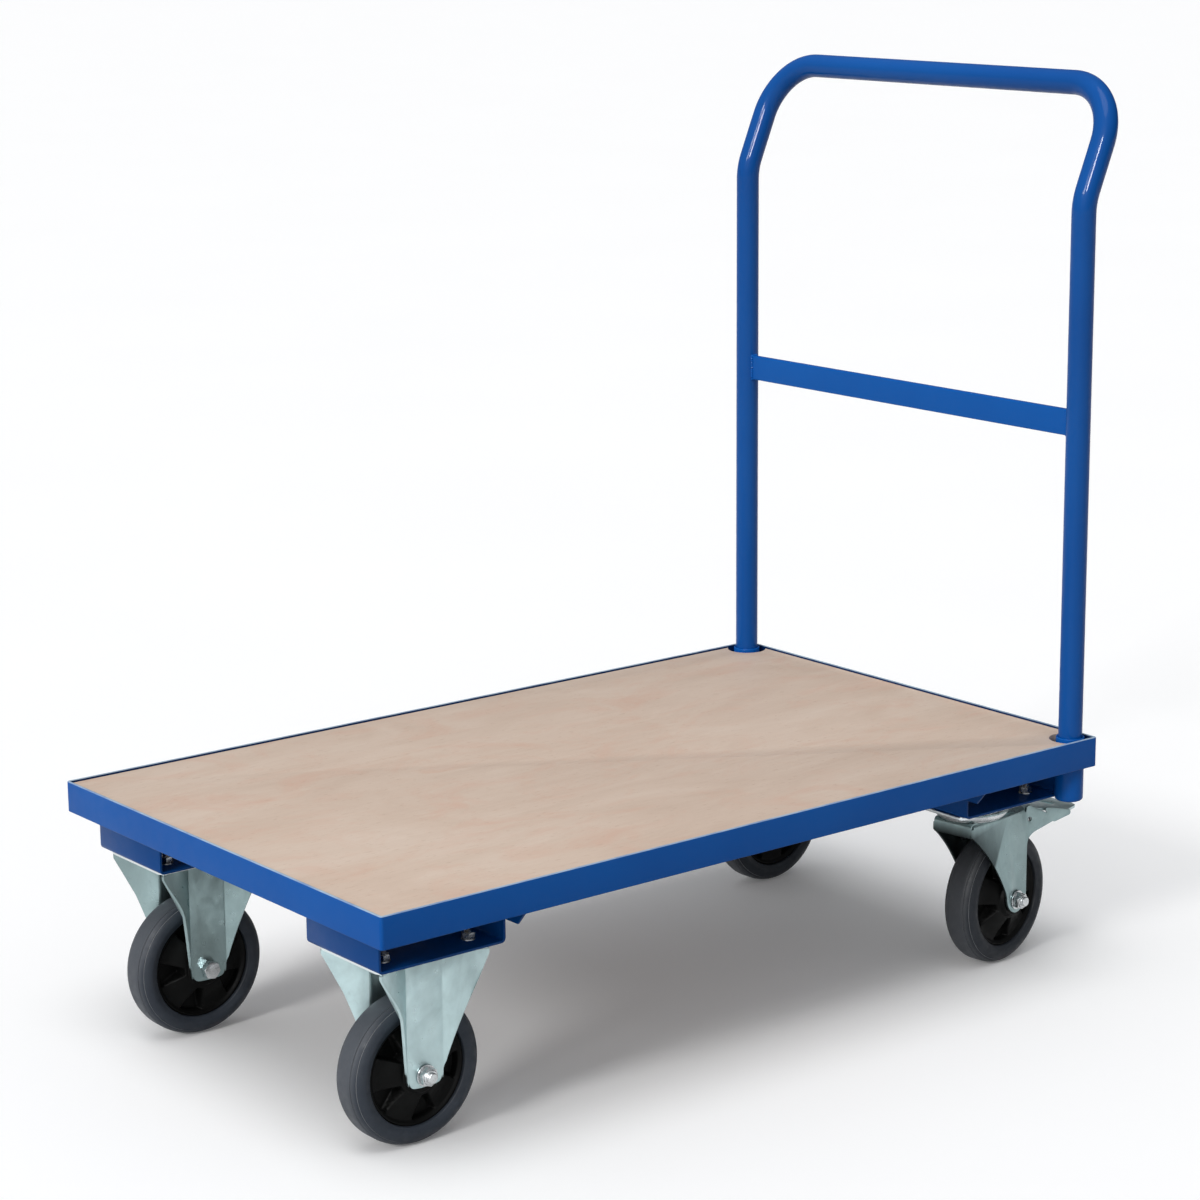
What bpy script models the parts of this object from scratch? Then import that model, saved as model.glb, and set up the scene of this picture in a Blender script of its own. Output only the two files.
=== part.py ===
"""Platform trolley: steel frame with a plywood deck, two fixed and two braked swivel castors,
and a lift-out push handle.

Frame: +X points to the handle end, +Y to the right of a person pushing from that end, +Z up.
z = 0 is the floor.  "left" is -Y, "right" is +Y, "front" is -X, "rear" is +X.
"""

import math

import bmesh
import bpy
from mathutils import Matrix, Vector

# ---- driving dimensions, in metres ------------------------------------------------------------
GAP = 0.0003                 # clearance between pieces that touch
DECK_CENTRE_X = -0.0270      # deck centre, so that the whole trolley is centred on x = 0

FRAME_LENGTH = 1.006
FRAME_WIDTH = 0.612
RAIL_TOP = 0.2865            # height above the floor
RAIL_HEIGHT = 0.035
SHEET = 0.003                # steel sheet thickness
LEDGE_WIDTH = 0.0145         # ledge that carries the deck board
BOARD_THICKNESS = 0.012
BOARD_BELOW_TOP = 0.0025     # board surface below the rails' top edge

BRACKET_INNER_X = 0.327      # castor brackets, from the deck centre
BRACKET_OUTER_X = 0.483
BRACKET_INNER_Y = 0.143
BRACKET_OUTER_Y = 0.271
BRACKET_BOTTOM = RAIL_TOP - 0.0742
BRACKET_BEND = 0.006

CROSS_MEMBER_DEPTH = 0.030
CROSS_MEMBER_BOTTOM = RAIL_TOP - 0.050

POST_X = 0.481               # handle posts, from the deck centre
POST_Y = 0.284
TUBE_RADIUS = 0.014
SOCKET_RADIUS = 0.0165
SOCKET_BOTTOM = RAIL_TOP - 0.076
SOCKET_FLOOR = 0.003
BOARD_CUTOUT = 0.024
KINK_HEIGHT = RAIL_TOP + 0.6165
KINK_ANGLE = math.radians(23.0)
KINK_RADIUS = 0.070
LEAN_LENGTH = 0.137
CORNER_RADIUS = 0.068
CROSSBAR_HEIGHT = RAIL_TOP + 0.366
CROSSBAR_SIZE = (0.008, 0.030)

WHEEL_RADIUS = 0.080
WHEEL_SEGMENTS = 32
TREAD_WIDTH = 0.042
TYRE_SHOULDER = 0.015
RIM_RADIUS = 0.0585
RIM_WIDTH = 0.034
RIM_FLANGE = 0.005
HUB_RADIUS = 0.019
HUB_HALF = 0.0280
WEB_HALF = 0.005
BEARING_RADIUS = 0.0128
AXLE_TUBE_RADIUS = 0.0088
AXLE_RADIUS = 0.006
AXLE_OVERHANG = 0.0135       # bolt end beyond the outer leg
HEX_RADIUS = 0.0105
HEAD_HEIGHT = 0.0075
NUT_HEIGHT = 0.010
CHEEK_OUTER = 0.032          # outer face of a castor's legs, from the wheel's mid-plane
CHEEK_INNER = CHEEK_OUTER - SHEET

PLATE_TOP = BRACKET_BOTTOM - GAP
PLATE_SIZE = (0.140, 0.110, 0.004)
PLATE_CORNER = 0.008
PLATE_BOTTOM = PLATE_TOP - PLATE_SIZE[2]

FIXED_X = -0.407             # fixed axle, from the deck centre
LEG_HALF = 0.0225
LEG_FOOT_DEPTH = 0.0125      # foot below the axle
FLANK_LENGTH = 0.050
FLANK_CORNER = 0.005
FLANK_FOOT = RAIL_TOP - 0.197
FLANK_FLARE = math.radians(33.0)
CASTOR_Y = 0.207
SWIVEL_X = 0.398             # kingpin, from the deck centre
SWIVEL_TRAIL = 0.052
SWIVEL_YAW = {"left": math.radians(9.0), "right": math.radians(2.0)}

RACE_RADIUS = 0.043
RACE_LIP = 0.002
RACE_FOOT = 0.004
CROWN_TOP = RAIL_TOP - 0.0953
KINGPIN_RADIUS = 0.006
KINGPIN_HEAD = (0.012, 0.0075)
KINGPIN_CHAMFER = 0.0015
SKIRT_LOW = RAIL_TOP - 0.113
WING_CREASE = 0.071
WING_LENGTH = 0.056
WING_TIP = (RAIL_TOP - 0.105, RAIL_TOP - 0.111)
CHEEK_FOOT_DEPTH = 0.0155    # foot below the axle
WING_FLARE = math.radians(30.0)
FRONT_CREASE = 0.030
FRONT_EDGE = -0.035
FRONT_FLARE = math.radians(6.0)
BRAKE_PIVOT = (0.074, RAIL_TOP - 0.112)
BRAKE_PIN_RADIUS = 0.0025
PEDAL_PITCH = math.radians(7.0)
PEDAL_TOP = RAIL_TOP - 0.099
PEDAL_WIDE = 0.122           # widest place, and the nose, from the kingpin
PEDAL_NOSE = (0.148, 0.156)
PEDAL_SLOT = (0.122, 0.132, 0.030)
EAR_RISE = 0.010
SHOE_X = (0.080, 0.095)
SHOE_LOW = (RAIL_TOP - 0.1276, RAIL_TOP - 0.1300)
SHOE_WIDTH = 0.030

ROUND_STEPS = 24             # facets around the sockets and ball races
PIN_STEPS = 16               # facets around axles, pins and their holes
SIDES = {"left": -1.0, "right": 1.0}
COLLECTION = "platform_trolley"


# ---- scene and materials ----------------------------------------------------------------------
def clear_scene():
    for old in list(bpy.data.objects):
        bpy.data.objects.remove(old, do_unlink=True)


def make_material(name, colour, roughness, metallic):
    """A Principled material."""
    material = bpy.data.materials.new(name)
    material.use_nodes = True
    shader = material.node_tree.nodes["Principled BSDF"]
    shader.inputs["Base Color"].default_value = (*colour, 1.0)
    shader.inputs["Roughness"].default_value = roughness
    shader.inputs["Metallic"].default_value = metallic
    material.diffuse_color = (*colour, 1.0)
    return material


def make_materials():
    return {
        "blue_paint": make_material("blue_paint", (0.02, 0.13, 0.42), 0.38, 0.0),
        "plywood": make_material("plywood", (0.72, 0.55, 0.40), 0.60, 0.0),
        "zinc": make_material("zinc", (0.60, 0.66, 0.67), 0.35, 0.9),
        "tyre_rubber": make_material("tyre_rubber", (0.075, 0.075, 0.085), 0.70, 0.0),
        "rim_plastic": make_material("rim_plastic", (0.012, 0.012, 0.013), 0.45, 0.0),
        "bearing_steel": make_material("bearing_steel", (0.45, 0.45, 0.46), 0.30, 1.0),
    }


def add_object(name, mesh, material):
    """A new object in the trolley's collection."""
    piece = bpy.data.objects.new(name, mesh)
    bpy.data.collections[COLLECTION].objects.link(piece)
    mesh.materials.clear()
    mesh.materials.append(material)
    return piece


def smooth(piece):
    """Smooth shading that keeps edges over 35 degrees sharp."""
    piece.data.shade_smooth()
    piece.data.set_sharp_from_angle(angle=math.radians(35.0))


# ---- shape helpers ----------------------------------------------------------------------------
def apply_modifiers(piece):
    """Replace the mesh with its evaluated copy."""
    bpy.context.view_layer.update()
    evaluated = piece.evaluated_get(bpy.context.evaluated_depsgraph_get())
    mesh = bpy.data.meshes.new_from_object(evaluated)
    piece.modifiers.clear()
    piece.data = mesh


def combine(piece, other, operation):
    """EXACT Boolean of two objects; the second one is used up."""
    modifier = piece.modifiers.new(operation.lower(), "BOOLEAN")
    modifier.operation = operation
    modifier.solver = "EXACT"
    modifier.object = other
    apply_modifiers(piece)
    bpy.data.objects.remove(other, do_unlink=True)


def box(name, low, high, material):
    """A box between two corners."""
    low = Vector(low)
    high = Vector(high)
    bm = bmesh.new()
    bmesh.ops.create_cube(bm, size=1.0)
    bmesh.ops.scale(bm, vec=high - low, verts=bm.verts)
    mesh = bpy.data.meshes.new(name)
    bm.to_mesh(mesh)
    bm.free()
    piece = add_object(name, mesh, material)
    piece.location = (low + high) / 2.0
    return piece


def cylinder(name, radius, low, high, material, segments=PIN_STEPS):
    """An upright cylinder on local Z, from low to high; six segments make a hexagon."""
    bm = bmesh.new()
    bmesh.ops.create_cone(bm, cap_ends=True, segments=segments, radius1=radius, radius2=radius,
                          depth=high - low)
    bmesh.ops.translate(bm, vec=(0.0, 0.0, (low + high) / 2.0), verts=bm.verts)
    mesh = bpy.data.meshes.new(name)
    bm.to_mesh(mesh)
    bm.free()
    piece = add_object(name, mesh, material)
    smooth(piece)
    return piece


def turned(name, profile, material, segments, closed):
    """A profile of (radius, height) points, from the top down the outer side, turned about Z."""
    mesh = bpy.data.meshes.new(name)
    count = len(profile)
    edges = [(i, i + 1) for i in range(count - 1)]
    if closed:
        edges.append((count - 1, 0))
    mesh.from_pydata([(radius, 0.0, height) for radius, height in profile], edges, [])
    piece = add_object(name, mesh, material)
    screw = piece.modifiers.new("turn", "SCREW")
    screw.steps = segments
    screw.render_steps = segments
    screw.use_merge_vertices = True
    screw.merge_threshold = 0.00001
    apply_modifiers(piece)
    smooth(piece)
    return piece


def curve_to_mesh(curve_object, name, material):
    """Turn a curve object into a welded mesh object in the same place."""
    bpy.context.view_layer.update()
    evaluated = curve_object.evaluated_get(bpy.context.evaluated_depsgraph_get())
    mesh = bpy.data.meshes.new_from_object(evaluated)
    bm = bmesh.new()
    bm.from_mesh(mesh)
    bmesh.ops.remove_doubles(bm, verts=bm.verts, dist=0.00001)
    bm.to_mesh(mesh)
    bm.free()
    piece = add_object(name, mesh, material)
    piece.matrix_world = curve_object.matrix_world.copy()
    bpy.data.objects.remove(curve_object, do_unlink=True)
    return piece


def plate(name, outline, thickness, material):
    """A flat outline in local XY, extruded to a thickness centred on z = 0."""
    curve = bpy.data.curves.new(name, "CURVE")
    curve.dimensions = "2D"
    curve.fill_mode = "BOTH"
    curve.extrude = thickness / 2.0
    spline = curve.splines.new("POLY")
    spline.points.add(len(outline) - 1)
    for point, (x, y) in zip(spline.points, outline):
        point.co = (x, y, 0.0, 1.0)
    spline.use_cyclic_u = True
    flat = bpy.data.objects.new(name + "_outline", curve)
    bpy.data.collections[COLLECTION].objects.link(flat)
    return curve_to_mesh(flat, name, material)


def transform_mesh(piece, matrix):
    """Move the mesh inside its object."""
    piece.data.transform(matrix)
    piece.data.update()


def stand_up(piece, y=0.0):
    """Turn an outline drawn as (x, z) upright, centred on the plane of the given y."""
    transform_mesh(piece, Matrix.Translation((0.0, y, 0.0)) @ Matrix.Rotation(math.pi / 2.0, 4, "X"))


def arc(centre, radius, start, end, steps, squash=1.0):
    """Points on an arc, or on an elliptic arc whose second axis is squash times the first."""
    points = []
    for i in range(steps + 1):
        angle = math.radians(start + (end - start) * i / steps)
        points.append((centre[0] + radius * math.cos(angle),
                       centre[1] + radius * squash * math.sin(angle)))
    return points


def bow(start, control, end, steps):
    """Points on a quadratic curve between two points."""
    points = []
    for i in range(steps + 1):
        t = i / steps
        points.append(tuple((1 - t) ** 2 * a + 2 * t * (1 - t) * b + t * t * c
                            for a, b, c in zip(start, control, end)))
    return points


def slice_off(piece, point, normal):
    """Cut away what lies beyond a plane and close the cut."""
    bm = bmesh.new()
    bm.from_mesh(piece.data)
    cut = bmesh.ops.bisect_plane(bm, geom=bm.verts[:] + bm.edges[:] + bm.faces[:],
                                 plane_co=point, plane_no=normal, clear_outer=True)
    edges = [item for item in cut["geom_cut"] if isinstance(item, bmesh.types.BMEdge)]
    bmesh.ops.contextual_create(bm, geom=edges)
    bmesh.ops.recalc_face_normals(bm, faces=bm.faces)
    bm.to_mesh(piece.data)
    bm.free()


def fold(piece, crease, direction, angle, y):
    """Bend the sheet beyond x = crease (direction +1 or -1) about an upright axis at that y."""
    bm = bmesh.new()
    bm.from_mesh(piece.data)
    bmesh.ops.bisect_plane(bm, geom=bm.verts[:] + bm.edges[:] + bm.faces[:],
                           plane_co=(crease, 0.0, 0.0), plane_no=(1.0, 0.0, 0.0))
    beyond = [v for v in bm.verts if (v.co.x - crease) * direction > 0.00001]
    bmesh.ops.rotate(bm, cent=(crease, y, 0.0), matrix=Matrix.Rotation(angle, 3, "Z"), verts=beyond)
    bm.to_mesh(piece.data)
    bm.free()


def place(pieces, location, yaw=0.0):
    """Stand pieces that were modelled about the origin at their place."""
    for piece in pieces:
        piece.matrix_world = Matrix.Translation(location) @ Matrix.Rotation(yaw, 4, "Z")


def deck_point(x, y, z=0.0):
    """A point given from the deck centre, in the trolley's frame."""
    return Vector((x + DECK_CENTRE_X, y, z))


# ---- frame and deck ---------------------------------------------------------------------------
def socket_cutter(side, clearance, low, high, material):
    """A cylinder on a handle socket's axis."""
    cutter = cylinder("cutter", SOCKET_RADIUS + clearance, low, high, material, ROUND_STEPS)
    cutter.location = deck_point(POST_X, side * POST_Y)
    return cutter


def make_rail(name, length, location, yaw, sockets, material):
    """One mitred rail with its ledge; local x runs along it, local +y points into the frame."""
    ledge_top = -BOARD_BELOW_TOP - BOARD_THICKNESS - GAP
    ledge_bottom = ledge_top - SHEET
    ledge_end = SHEET + LEDGE_WIDTH
    section = [(0.0, -RAIL_HEIGHT), (SHEET, -RAIL_HEIGHT), (SHEET, ledge_bottom),
               (ledge_end, ledge_bottom), (ledge_end, ledge_top), (SHEET, ledge_top),
               (SHEET, 0.0), (0.0, 0.0)]
    rail = plate(name, section, length, material)
    transform_mesh(rail, Matrix(((0, 0, 1, 0), (1, 0, 0, 0), (0, 1, 0, 0), (0, 0, 0, 1))))
    for end in (-1.0, 1.0):
        slice_off(rail, (end * (length / 2.0 - GAP), 0.0, 0.0), (end, 1.0, 0.0))
    place([rail], location, yaw)
    for side in sockets:
        low = RAIL_TOP - RAIL_HEIGHT
        combine(rail, socket_cutter(side, GAP, low, RAIL_TOP + SHEET, material), "DIFFERENCE")
    return rail


def make_frame(steel):
    half_length = FRAME_LENGTH / 2.0
    half_width = FRAME_WIDTH / 2.0
    quarter = math.pi / 2.0
    make_rail("rail_left", FRAME_LENGTH, deck_point(0, -half_width, RAIL_TOP), 0.0, (-1.0,), steel)
    make_rail("rail_right", FRAME_LENGTH, deck_point(0, half_width, RAIL_TOP), 2 * quarter, (1.0,),
              steel)
    make_rail("rail_front", FRAME_WIDTH, deck_point(-half_length, 0, RAIL_TOP), -quarter, (), steel)
    make_rail("rail_rear", FRAME_WIDTH, deck_point(half_length, 0, RAIL_TOP), quarter, (-1.0, 1.0),
              steel)


def make_deck_board(wood):
    """Plywood board with a round cut-out in each rear corner for the handle sockets."""
    x_edge = FRAME_LENGTH / 2.0 - SHEET - GAP
    y_edge = FRAME_WIDTH / 2.0 - SHEET - GAP
    reach = x_edge - POST_X
    corner_angle = math.degrees(math.asin(reach / BOARD_CUTOUT))
    cut = arc((POST_X, -POST_Y), BOARD_CUTOUT, 180.0 + corner_angle, 90.0 - corner_angle, 14)
    outline = [(-x_edge, -y_edge)] + cut + [(x, -y) for x, y in reversed(cut)] + [(-x_edge, y_edge)]
    board = plate("deck_board", outline, BOARD_THICKNESS, wood)
    board.location = deck_point(0, 0, RAIL_TOP - BOARD_BELOW_TOP - BOARD_THICKNESS / 2.0)


def make_cross_member(end_name, end, steel):
    """Angle section under the board, between the long rails, with chamfered ends."""
    near = BRACKET_INNER_X - GAP
    far = near - CROSS_MEMBER_DEPTH
    top = RAIL_TOP - BOARD_BELOW_TOP - BOARD_THICKNESS - SHEET - 2 * GAP
    bottom = CROSS_MEMBER_BOTTOM
    length = FRAME_WIDTH - 2 * SHEET - 2 * GAP
    section = [(near, bottom), (near, top), (far, top), (far, top - SHEET),
               (near - SHEET, top - SHEET), (near - SHEET, bottom)]
    section = [(end * x, z) for x, z in section]
    member = plate("cross_member_" + end_name, section, length, steel)
    stand_up(member)
    for side in SIDES.values():
        point = (0.0, side * length / 2.0, RAIL_TOP - RAIL_HEIGHT)
        slice_off(member, point, (0.0, side * 1.0, -0.85))
    member.location = deck_point(0, 0)


def make_castor_bracket(end_name, end, side_name, side, steel):
    """Folded channel, open to the sides, that carries one castor under the deck."""
    top = RAIL_TOP - BOARD_BELOW_TOP - BOARD_THICKNESS - GAP
    low = BRACKET_BOTTOM
    bend = BRACKET_BEND
    inner_bend = bend - SHEET
    left = BRACKET_INNER_X
    right = BRACKET_OUTER_X
    section = ([(left, top)] + arc((left + bend, low + bend), bend, 180, 270, 4)
               + arc((right - bend, low + bend), bend, 270, 360, 4)
               + [(right, top), (right - SHEET, top)]
               + arc((right - bend, low + bend), inner_bend, 360, 270, 4)
               + arc((left + bend, low + bend), inner_bend, 270, 180, 4)
               + [(left + SHEET, top)])
    section = [(end * x, z) for x, z in section]
    name = "castor_bracket_" + end_name + "_" + side_name
    bracket = plate(name, section, BRACKET_OUTER_Y - BRACKET_INNER_Y, steel)
    stand_up(bracket)
    bracket.location = deck_point(0, side * (BRACKET_INNER_Y + BRACKET_OUTER_Y) / 2.0)
    if end > 0:
        combine(bracket, socket_cutter(side, GAP, low - SHEET, RAIL_TOP, steel), "DIFFERENCE")
    smooth(bracket)


def make_handle_socket(side_name, side, steel):
    """Upright cup that the handle's post drops into."""
    inner = TUBE_RADIUS + GAP
    bottom_bend = 0.004
    profile = [(inner, RAIL_TOP), (SOCKET_RADIUS, RAIL_TOP)]
    profile += arc((SOCKET_RADIUS - bottom_bend, SOCKET_BOTTOM + bottom_bend), bottom_bend, 0, -90, 2)
    profile += [(0.0, SOCKET_BOTTOM), (0.0, SOCKET_BOTTOM + SOCKET_FLOOR),
                (inner, SOCKET_BOTTOM + SOCKET_FLOOR)]
    socket = turned("handle_socket_" + side_name, profile, steel, ROUND_STEPS, True)
    socket.location = deck_point(POST_X, side * POST_Y)


# ---- handle -----------------------------------------------------------------------------------
def handle_path():
    """Centre line of the bent tube: up one post, over the top bar and down the other post."""
    tangent = KINK_RADIUS * math.tan(KINK_ANGLE / 2.0)

    def lean(distance, y):
        """A point on the leaning plane, at a distance up the slope from the kink."""
        if distance >= tangent:
            return (POST_X + distance * math.sin(KINK_ANGLE), y,
                    KINK_HEIGHT + distance * math.cos(KINK_ANGLE))
        turn = (distance + tangent) / (2 * tangent) * KINK_ANGLE
        return (POST_X + KINK_RADIUS * (1 - math.cos(turn)), y,
                KINK_HEIGHT - tangent + KINK_RADIUS * math.sin(turn))

    foot = SOCKET_BOTTOM + SOCKET_FLOOR + GAP
    half = [(POST_X, -POST_Y, foot), (POST_X, -POST_Y, (foot + KINK_HEIGHT) / 2.0)]
    kink_steps = 5
    for i in range(kink_steps + 1):
        half.append(lean(-tangent + 2 * tangent * i / kink_steps, -POST_Y))
    corner = arc((-POST_Y + CORNER_RADIUS, LEAN_LENGTH - CORNER_RADIUS), CORNER_RADIUS, 180, 90, 7)
    half += [lean(distance, y) for y, distance in corner]
    return half + [(x, -y, z) for x, y, z in reversed(half)]


def make_handle(steel):
    curve = bpy.data.curves.new("handle_tube", "CURVE")
    curve.dimensions = "3D"
    curve.bevel_depth = TUBE_RADIUS
    curve.bevel_resolution = 4
    curve.use_fill_caps = True
    path = handle_path()
    spline = curve.splines.new("POLY")
    spline.points.add(len(path) - 1)
    for point, (x, y, z) in zip(spline.points, path):
        point.co = (x, y, z, 1.0)
    centre_line = bpy.data.objects.new("handle_centre_line", curve)
    bpy.data.collections[COLLECTION].objects.link(centre_line)
    tube = curve_to_mesh(centre_line, "handle_tube", steel)
    tube.location = deck_point(0, 0)
    smooth(tube)
    depth, height = CROSSBAR_SIZE
    reach = POST_Y - TUBE_RADIUS - GAP
    middle = deck_point(POST_X, 0, CROSSBAR_HEIGHT)
    half = Vector((depth / 2.0, reach, height / 2.0))
    box("handle_crossbar", middle - half, middle + half, steel)


# ---- wheels and their axles -------------------------------------------------------------------
def lay_on_axle(piece, turn=0.0):
    """Turn a piece made about Z so that its axis runs along Y, at wheel height."""
    spin = Matrix.Rotation(turn, 4, "Z")
    tip = Matrix.Rotation(-math.pi / 2.0, 4, "X")
    transform_mesh(piece, Matrix.Translation((0.0, 0.0, WHEEL_RADIUS)) @ tip @ spin)


def make_wheel(prefix, side_name, materials):
    """Tyre, rim and roller bearing, with the axle along local Y above the origin."""
    half_step = math.pi / WHEEL_SEGMENTS
    to_vertex = 1.0 / math.cos(half_step)
    half_tread = TREAD_WIDTH / 2.0
    inner = RIM_RADIUS + GAP
    shoulder_centre = (WHEEL_RADIUS - TYRE_SHOULDER, half_tread - TYRE_SHOULDER)
    upper = arc(shoulder_centre, TYRE_SHOULDER, 90, 0, 3)
    half_profile = [(inner, half_tread - 0.002)] + upper
    profile = half_profile + [(r, -h) for r, h in reversed(half_profile)]
    profile = [(r * to_vertex, h) for r, h in profile]
    tyre = turned(prefix + "_tyre_" + side_name, profile, materials["tyre_rubber"],
                  WHEEL_SEGMENTS, True)
    lay_on_axle(tyre, half_step)

    half_rim = RIM_WIDTH / 2.0
    bed = RIM_RADIUS - RIM_FLANGE
    bore = BEARING_RADIUS + GAP
    outer = [(bed, half_rim), (RIM_RADIUS, half_rim)]
    side = [(bore, HUB_HALF), (HUB_RADIUS, HUB_HALF), (HUB_RADIUS + 0.002, WEB_HALF),
            (bed - 0.002, WEB_HALF)] + outer
    profile = side + [(r, -h) for r, h in reversed(side)]
    rim = turned(prefix + "_rim_" + side_name, profile, materials["rim_plastic"], WHEEL_SEGMENTS,
                 True)
    lay_on_axle(rim, half_step)

    inner = AXLE_TUBE_RADIUS + GAP
    length = HUB_HALF - 0.002
    ring = [(inner, length), (BEARING_RADIUS, length), (BEARING_RADIUS, -length), (inner, -length)]
    bearing = turned(prefix + "_roller_bearing_" + side_name, ring, materials["bearing_steel"],
                     PIN_STEPS, True)
    lay_on_axle(bearing)
    return [tyre, rim, bearing]


def make_axle(prefix, side_name, side, materials):
    """Axle bolt with its head inboard, nut outboard, and the tube that spaces the legs."""
    zinc = materials["zinc"]
    outer = CHEEK_OUTER + GAP
    bolt = cylinder(prefix + "_axle_bolt_" + side_name, HEX_RADIUS, -outer - HEAD_HEIGHT, -outer,
                    zinc, 6)
    shank = cylinder("shank", AXLE_RADIUS, -outer - HEAD_HEIGHT / 2.0, outer + AXLE_OVERHANG, zinc)
    combine(bolt, shank, "UNION")
    nut = cylinder(prefix + "_axle_nut_" + side_name, HEX_RADIUS, outer, outer + NUT_HEIGHT, zinc, 6)
    hole = cylinder("hole", AXLE_RADIUS + GAP, 0.0, outer + 2 * NUT_HEIGHT, zinc)
    combine(nut, hole, "DIFFERENCE")
    inner = AXLE_RADIUS + GAP
    half = CHEEK_INNER - GAP
    ring = [(inner, half), (AXLE_TUBE_RADIUS, half), (AXLE_TUBE_RADIUS, -half), (inner, -half)]
    tube = turned(prefix + "_axle_tube_" + side_name, ring, zinc, PIN_STEPS, True)
    if side < 0:
        for piece in (bolt, nut):
            transform_mesh(piece, Matrix.Rotation(math.pi, 4, "X"))
    for piece in (bolt, nut, tube):
        lay_on_axle(piece)
    return [bolt, nut, tube]


def drill_across(piece, x, z, radius, material):
    """Drill along Y right through a piece that stands at the origin."""
    drill = cylinder("drill", radius, -0.1, 0.1, material)
    transform_mesh(drill, Matrix.Translation((x, 0.0, z)) @ Matrix.Rotation(math.pi / 2, 4, "X"))
    combine(piece, drill, "DIFFERENCE")


def castor_plate(name, zinc):
    """Castor top plate."""
    half_x = PLATE_SIZE[0] / 2.0
    half_y = PLATE_SIZE[1] / 2.0
    corner = PLATE_CORNER
    outline = (arc((half_x - corner, half_y - corner), corner, 0, 90, 3)
               + arc((corner - half_x, half_y - corner), corner, 90, 180, 3)
               + arc((corner - half_x, corner - half_y), corner, 180, 270, 3)
               + arc((half_x - corner, corner - half_y), corner, 270, 360, 3))
    piece = plate(name, outline, PLATE_SIZE[2], zinc)
    transform_mesh(piece, Matrix.Translation((0.0, 0.0, PLATE_BOTTOM + PLATE_SIZE[2] / 2.0)))
    return piece


def make_fixed_housing(side_name, zinc):
    """Top plate with two welded legs, whose flanks are folded outwards for stiffness."""
    housing = castor_plate("fixed_castor_housing_" + side_name, zinc)
    top = PLATE_BOTTOM + SHEET / 2.0
    tip = LEG_HALF + FLANK_LENGTH
    right = [(tip - FLANK_CORNER, top), (tip, PLATE_BOTTOM - FLANK_CORNER), (LEG_HALF, FLANK_FOOT)]
    rise = 0.006
    foot = arc((0.0, WHEEL_RADIUS + rise), LEG_HALF, 0, -180, 10,
               squash=(LEG_FOOT_DEPTH + rise) / LEG_HALF)
    outline = right + foot + [(-x, z) for x, z in reversed(right)]
    middle = CHEEK_OUTER - SHEET / 2.0
    for side in (-1.0, 1.0):
        leg = plate("leg", outline, SHEET, zinc)
        stand_up(leg, side * middle)
        for direction in (-1.0, 1.0):
            fold(leg, direction * LEG_HALF, direction, side * direction * FLANK_FLARE,
                 side * middle)
        combine(housing, leg, "UNION")
    drill_across(housing, 0.0, WHEEL_RADIUS, AXLE_RADIUS + GAP, zinc)
    smooth(housing)
    return housing


def make_fixed_castor(side_name, side, materials):
    pieces = [make_fixed_housing(side_name, materials["zinc"])]
    pieces += make_axle("fixed", side_name, side, materials)
    pieces += make_wheel("fixed", side_name, materials)
    place(pieces, deck_point(FIXED_X, side * CASTOR_Y))


# ---- swivel castors ---------------------------------------------------------------------------
def make_swivel_head(side_name, materials):
    """Top plate, ball race and kingpin, which stay with the frame."""
    zinc = materials["zinc"]
    top_plate = castor_plate("swivel_top_plate_" + side_name, zinc)
    hole = cylinder("hole", KINGPIN_RADIUS + GAP, PLATE_BOTTOM - 0.01, PLATE_TOP + 0.01, zinc)
    combine(top_plate, hole, "DIFFERENCE")
    high = PLATE_BOTTOM - GAP
    low = CROWN_TOP + GAP
    bore = KINGPIN_RADIUS + GAP
    dish = [(bore, high), (RACE_RADIUS, high), (RACE_RADIUS + RACE_LIP, (high + low) / 2.0),
            (RACE_RADIUS - RACE_FOOT, low), (bore, low)]
    race = turned("swivel_ball_race_" + side_name, dish, materials["bearing_steel"], ROUND_STEPS,
                  True)
    under = CROWN_TOP - SHEET - GAP
    head_radius, head_height = KINGPIN_HEAD
    pin = [(0.0, PLATE_TOP - GAP), (KINGPIN_RADIUS, PLATE_TOP - GAP), (KINGPIN_RADIUS, under),
           (head_radius, under), (head_radius, under - head_height + KINGPIN_CHAMFER),
           (head_radius - KINGPIN_CHAMFER, under - head_height), (0.0, under - head_height)]
    kingpin = turned("swivel_kingpin_" + side_name, pin, materials["bearing_steel"], PIN_STEPS,
                     False)
    return [top_plate, race, kingpin]


def cheek_outline():
    """Side view of one fork cheek with its trailing wing, as (x, z) before folding."""
    axle = SWIVEL_TRAIL
    half = WING_CREASE - SWIVEL_TRAIL
    tip = WING_CREASE + WING_LENGTH
    front = bow((FRONT_CREASE, RAIL_TOP - 0.192), (0.005, RAIL_TOP - 0.1426),
                (FRONT_EDGE, RAIL_TOP - 0.111), 8)
    throat = bow((WING_CREASE + 0.013, RAIL_TOP - 0.1265), (WING_CREASE, RAIL_TOP - 0.1310),
                 (WING_CREASE, RAIL_TOP - 0.144), 4)
    rise = 0.006
    foot = arc((axle, WHEEL_RADIUS + rise), half, 0, -180, 10,
               squash=(CHEEK_FOOT_DEPTH + rise) / half)
    return ([(FRONT_EDGE, CROWN_TOP), (WING_CREASE, CROWN_TOP), (tip, WING_TIP[0]),
             (tip, WING_TIP[1])] + throat + foot + front)


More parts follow.
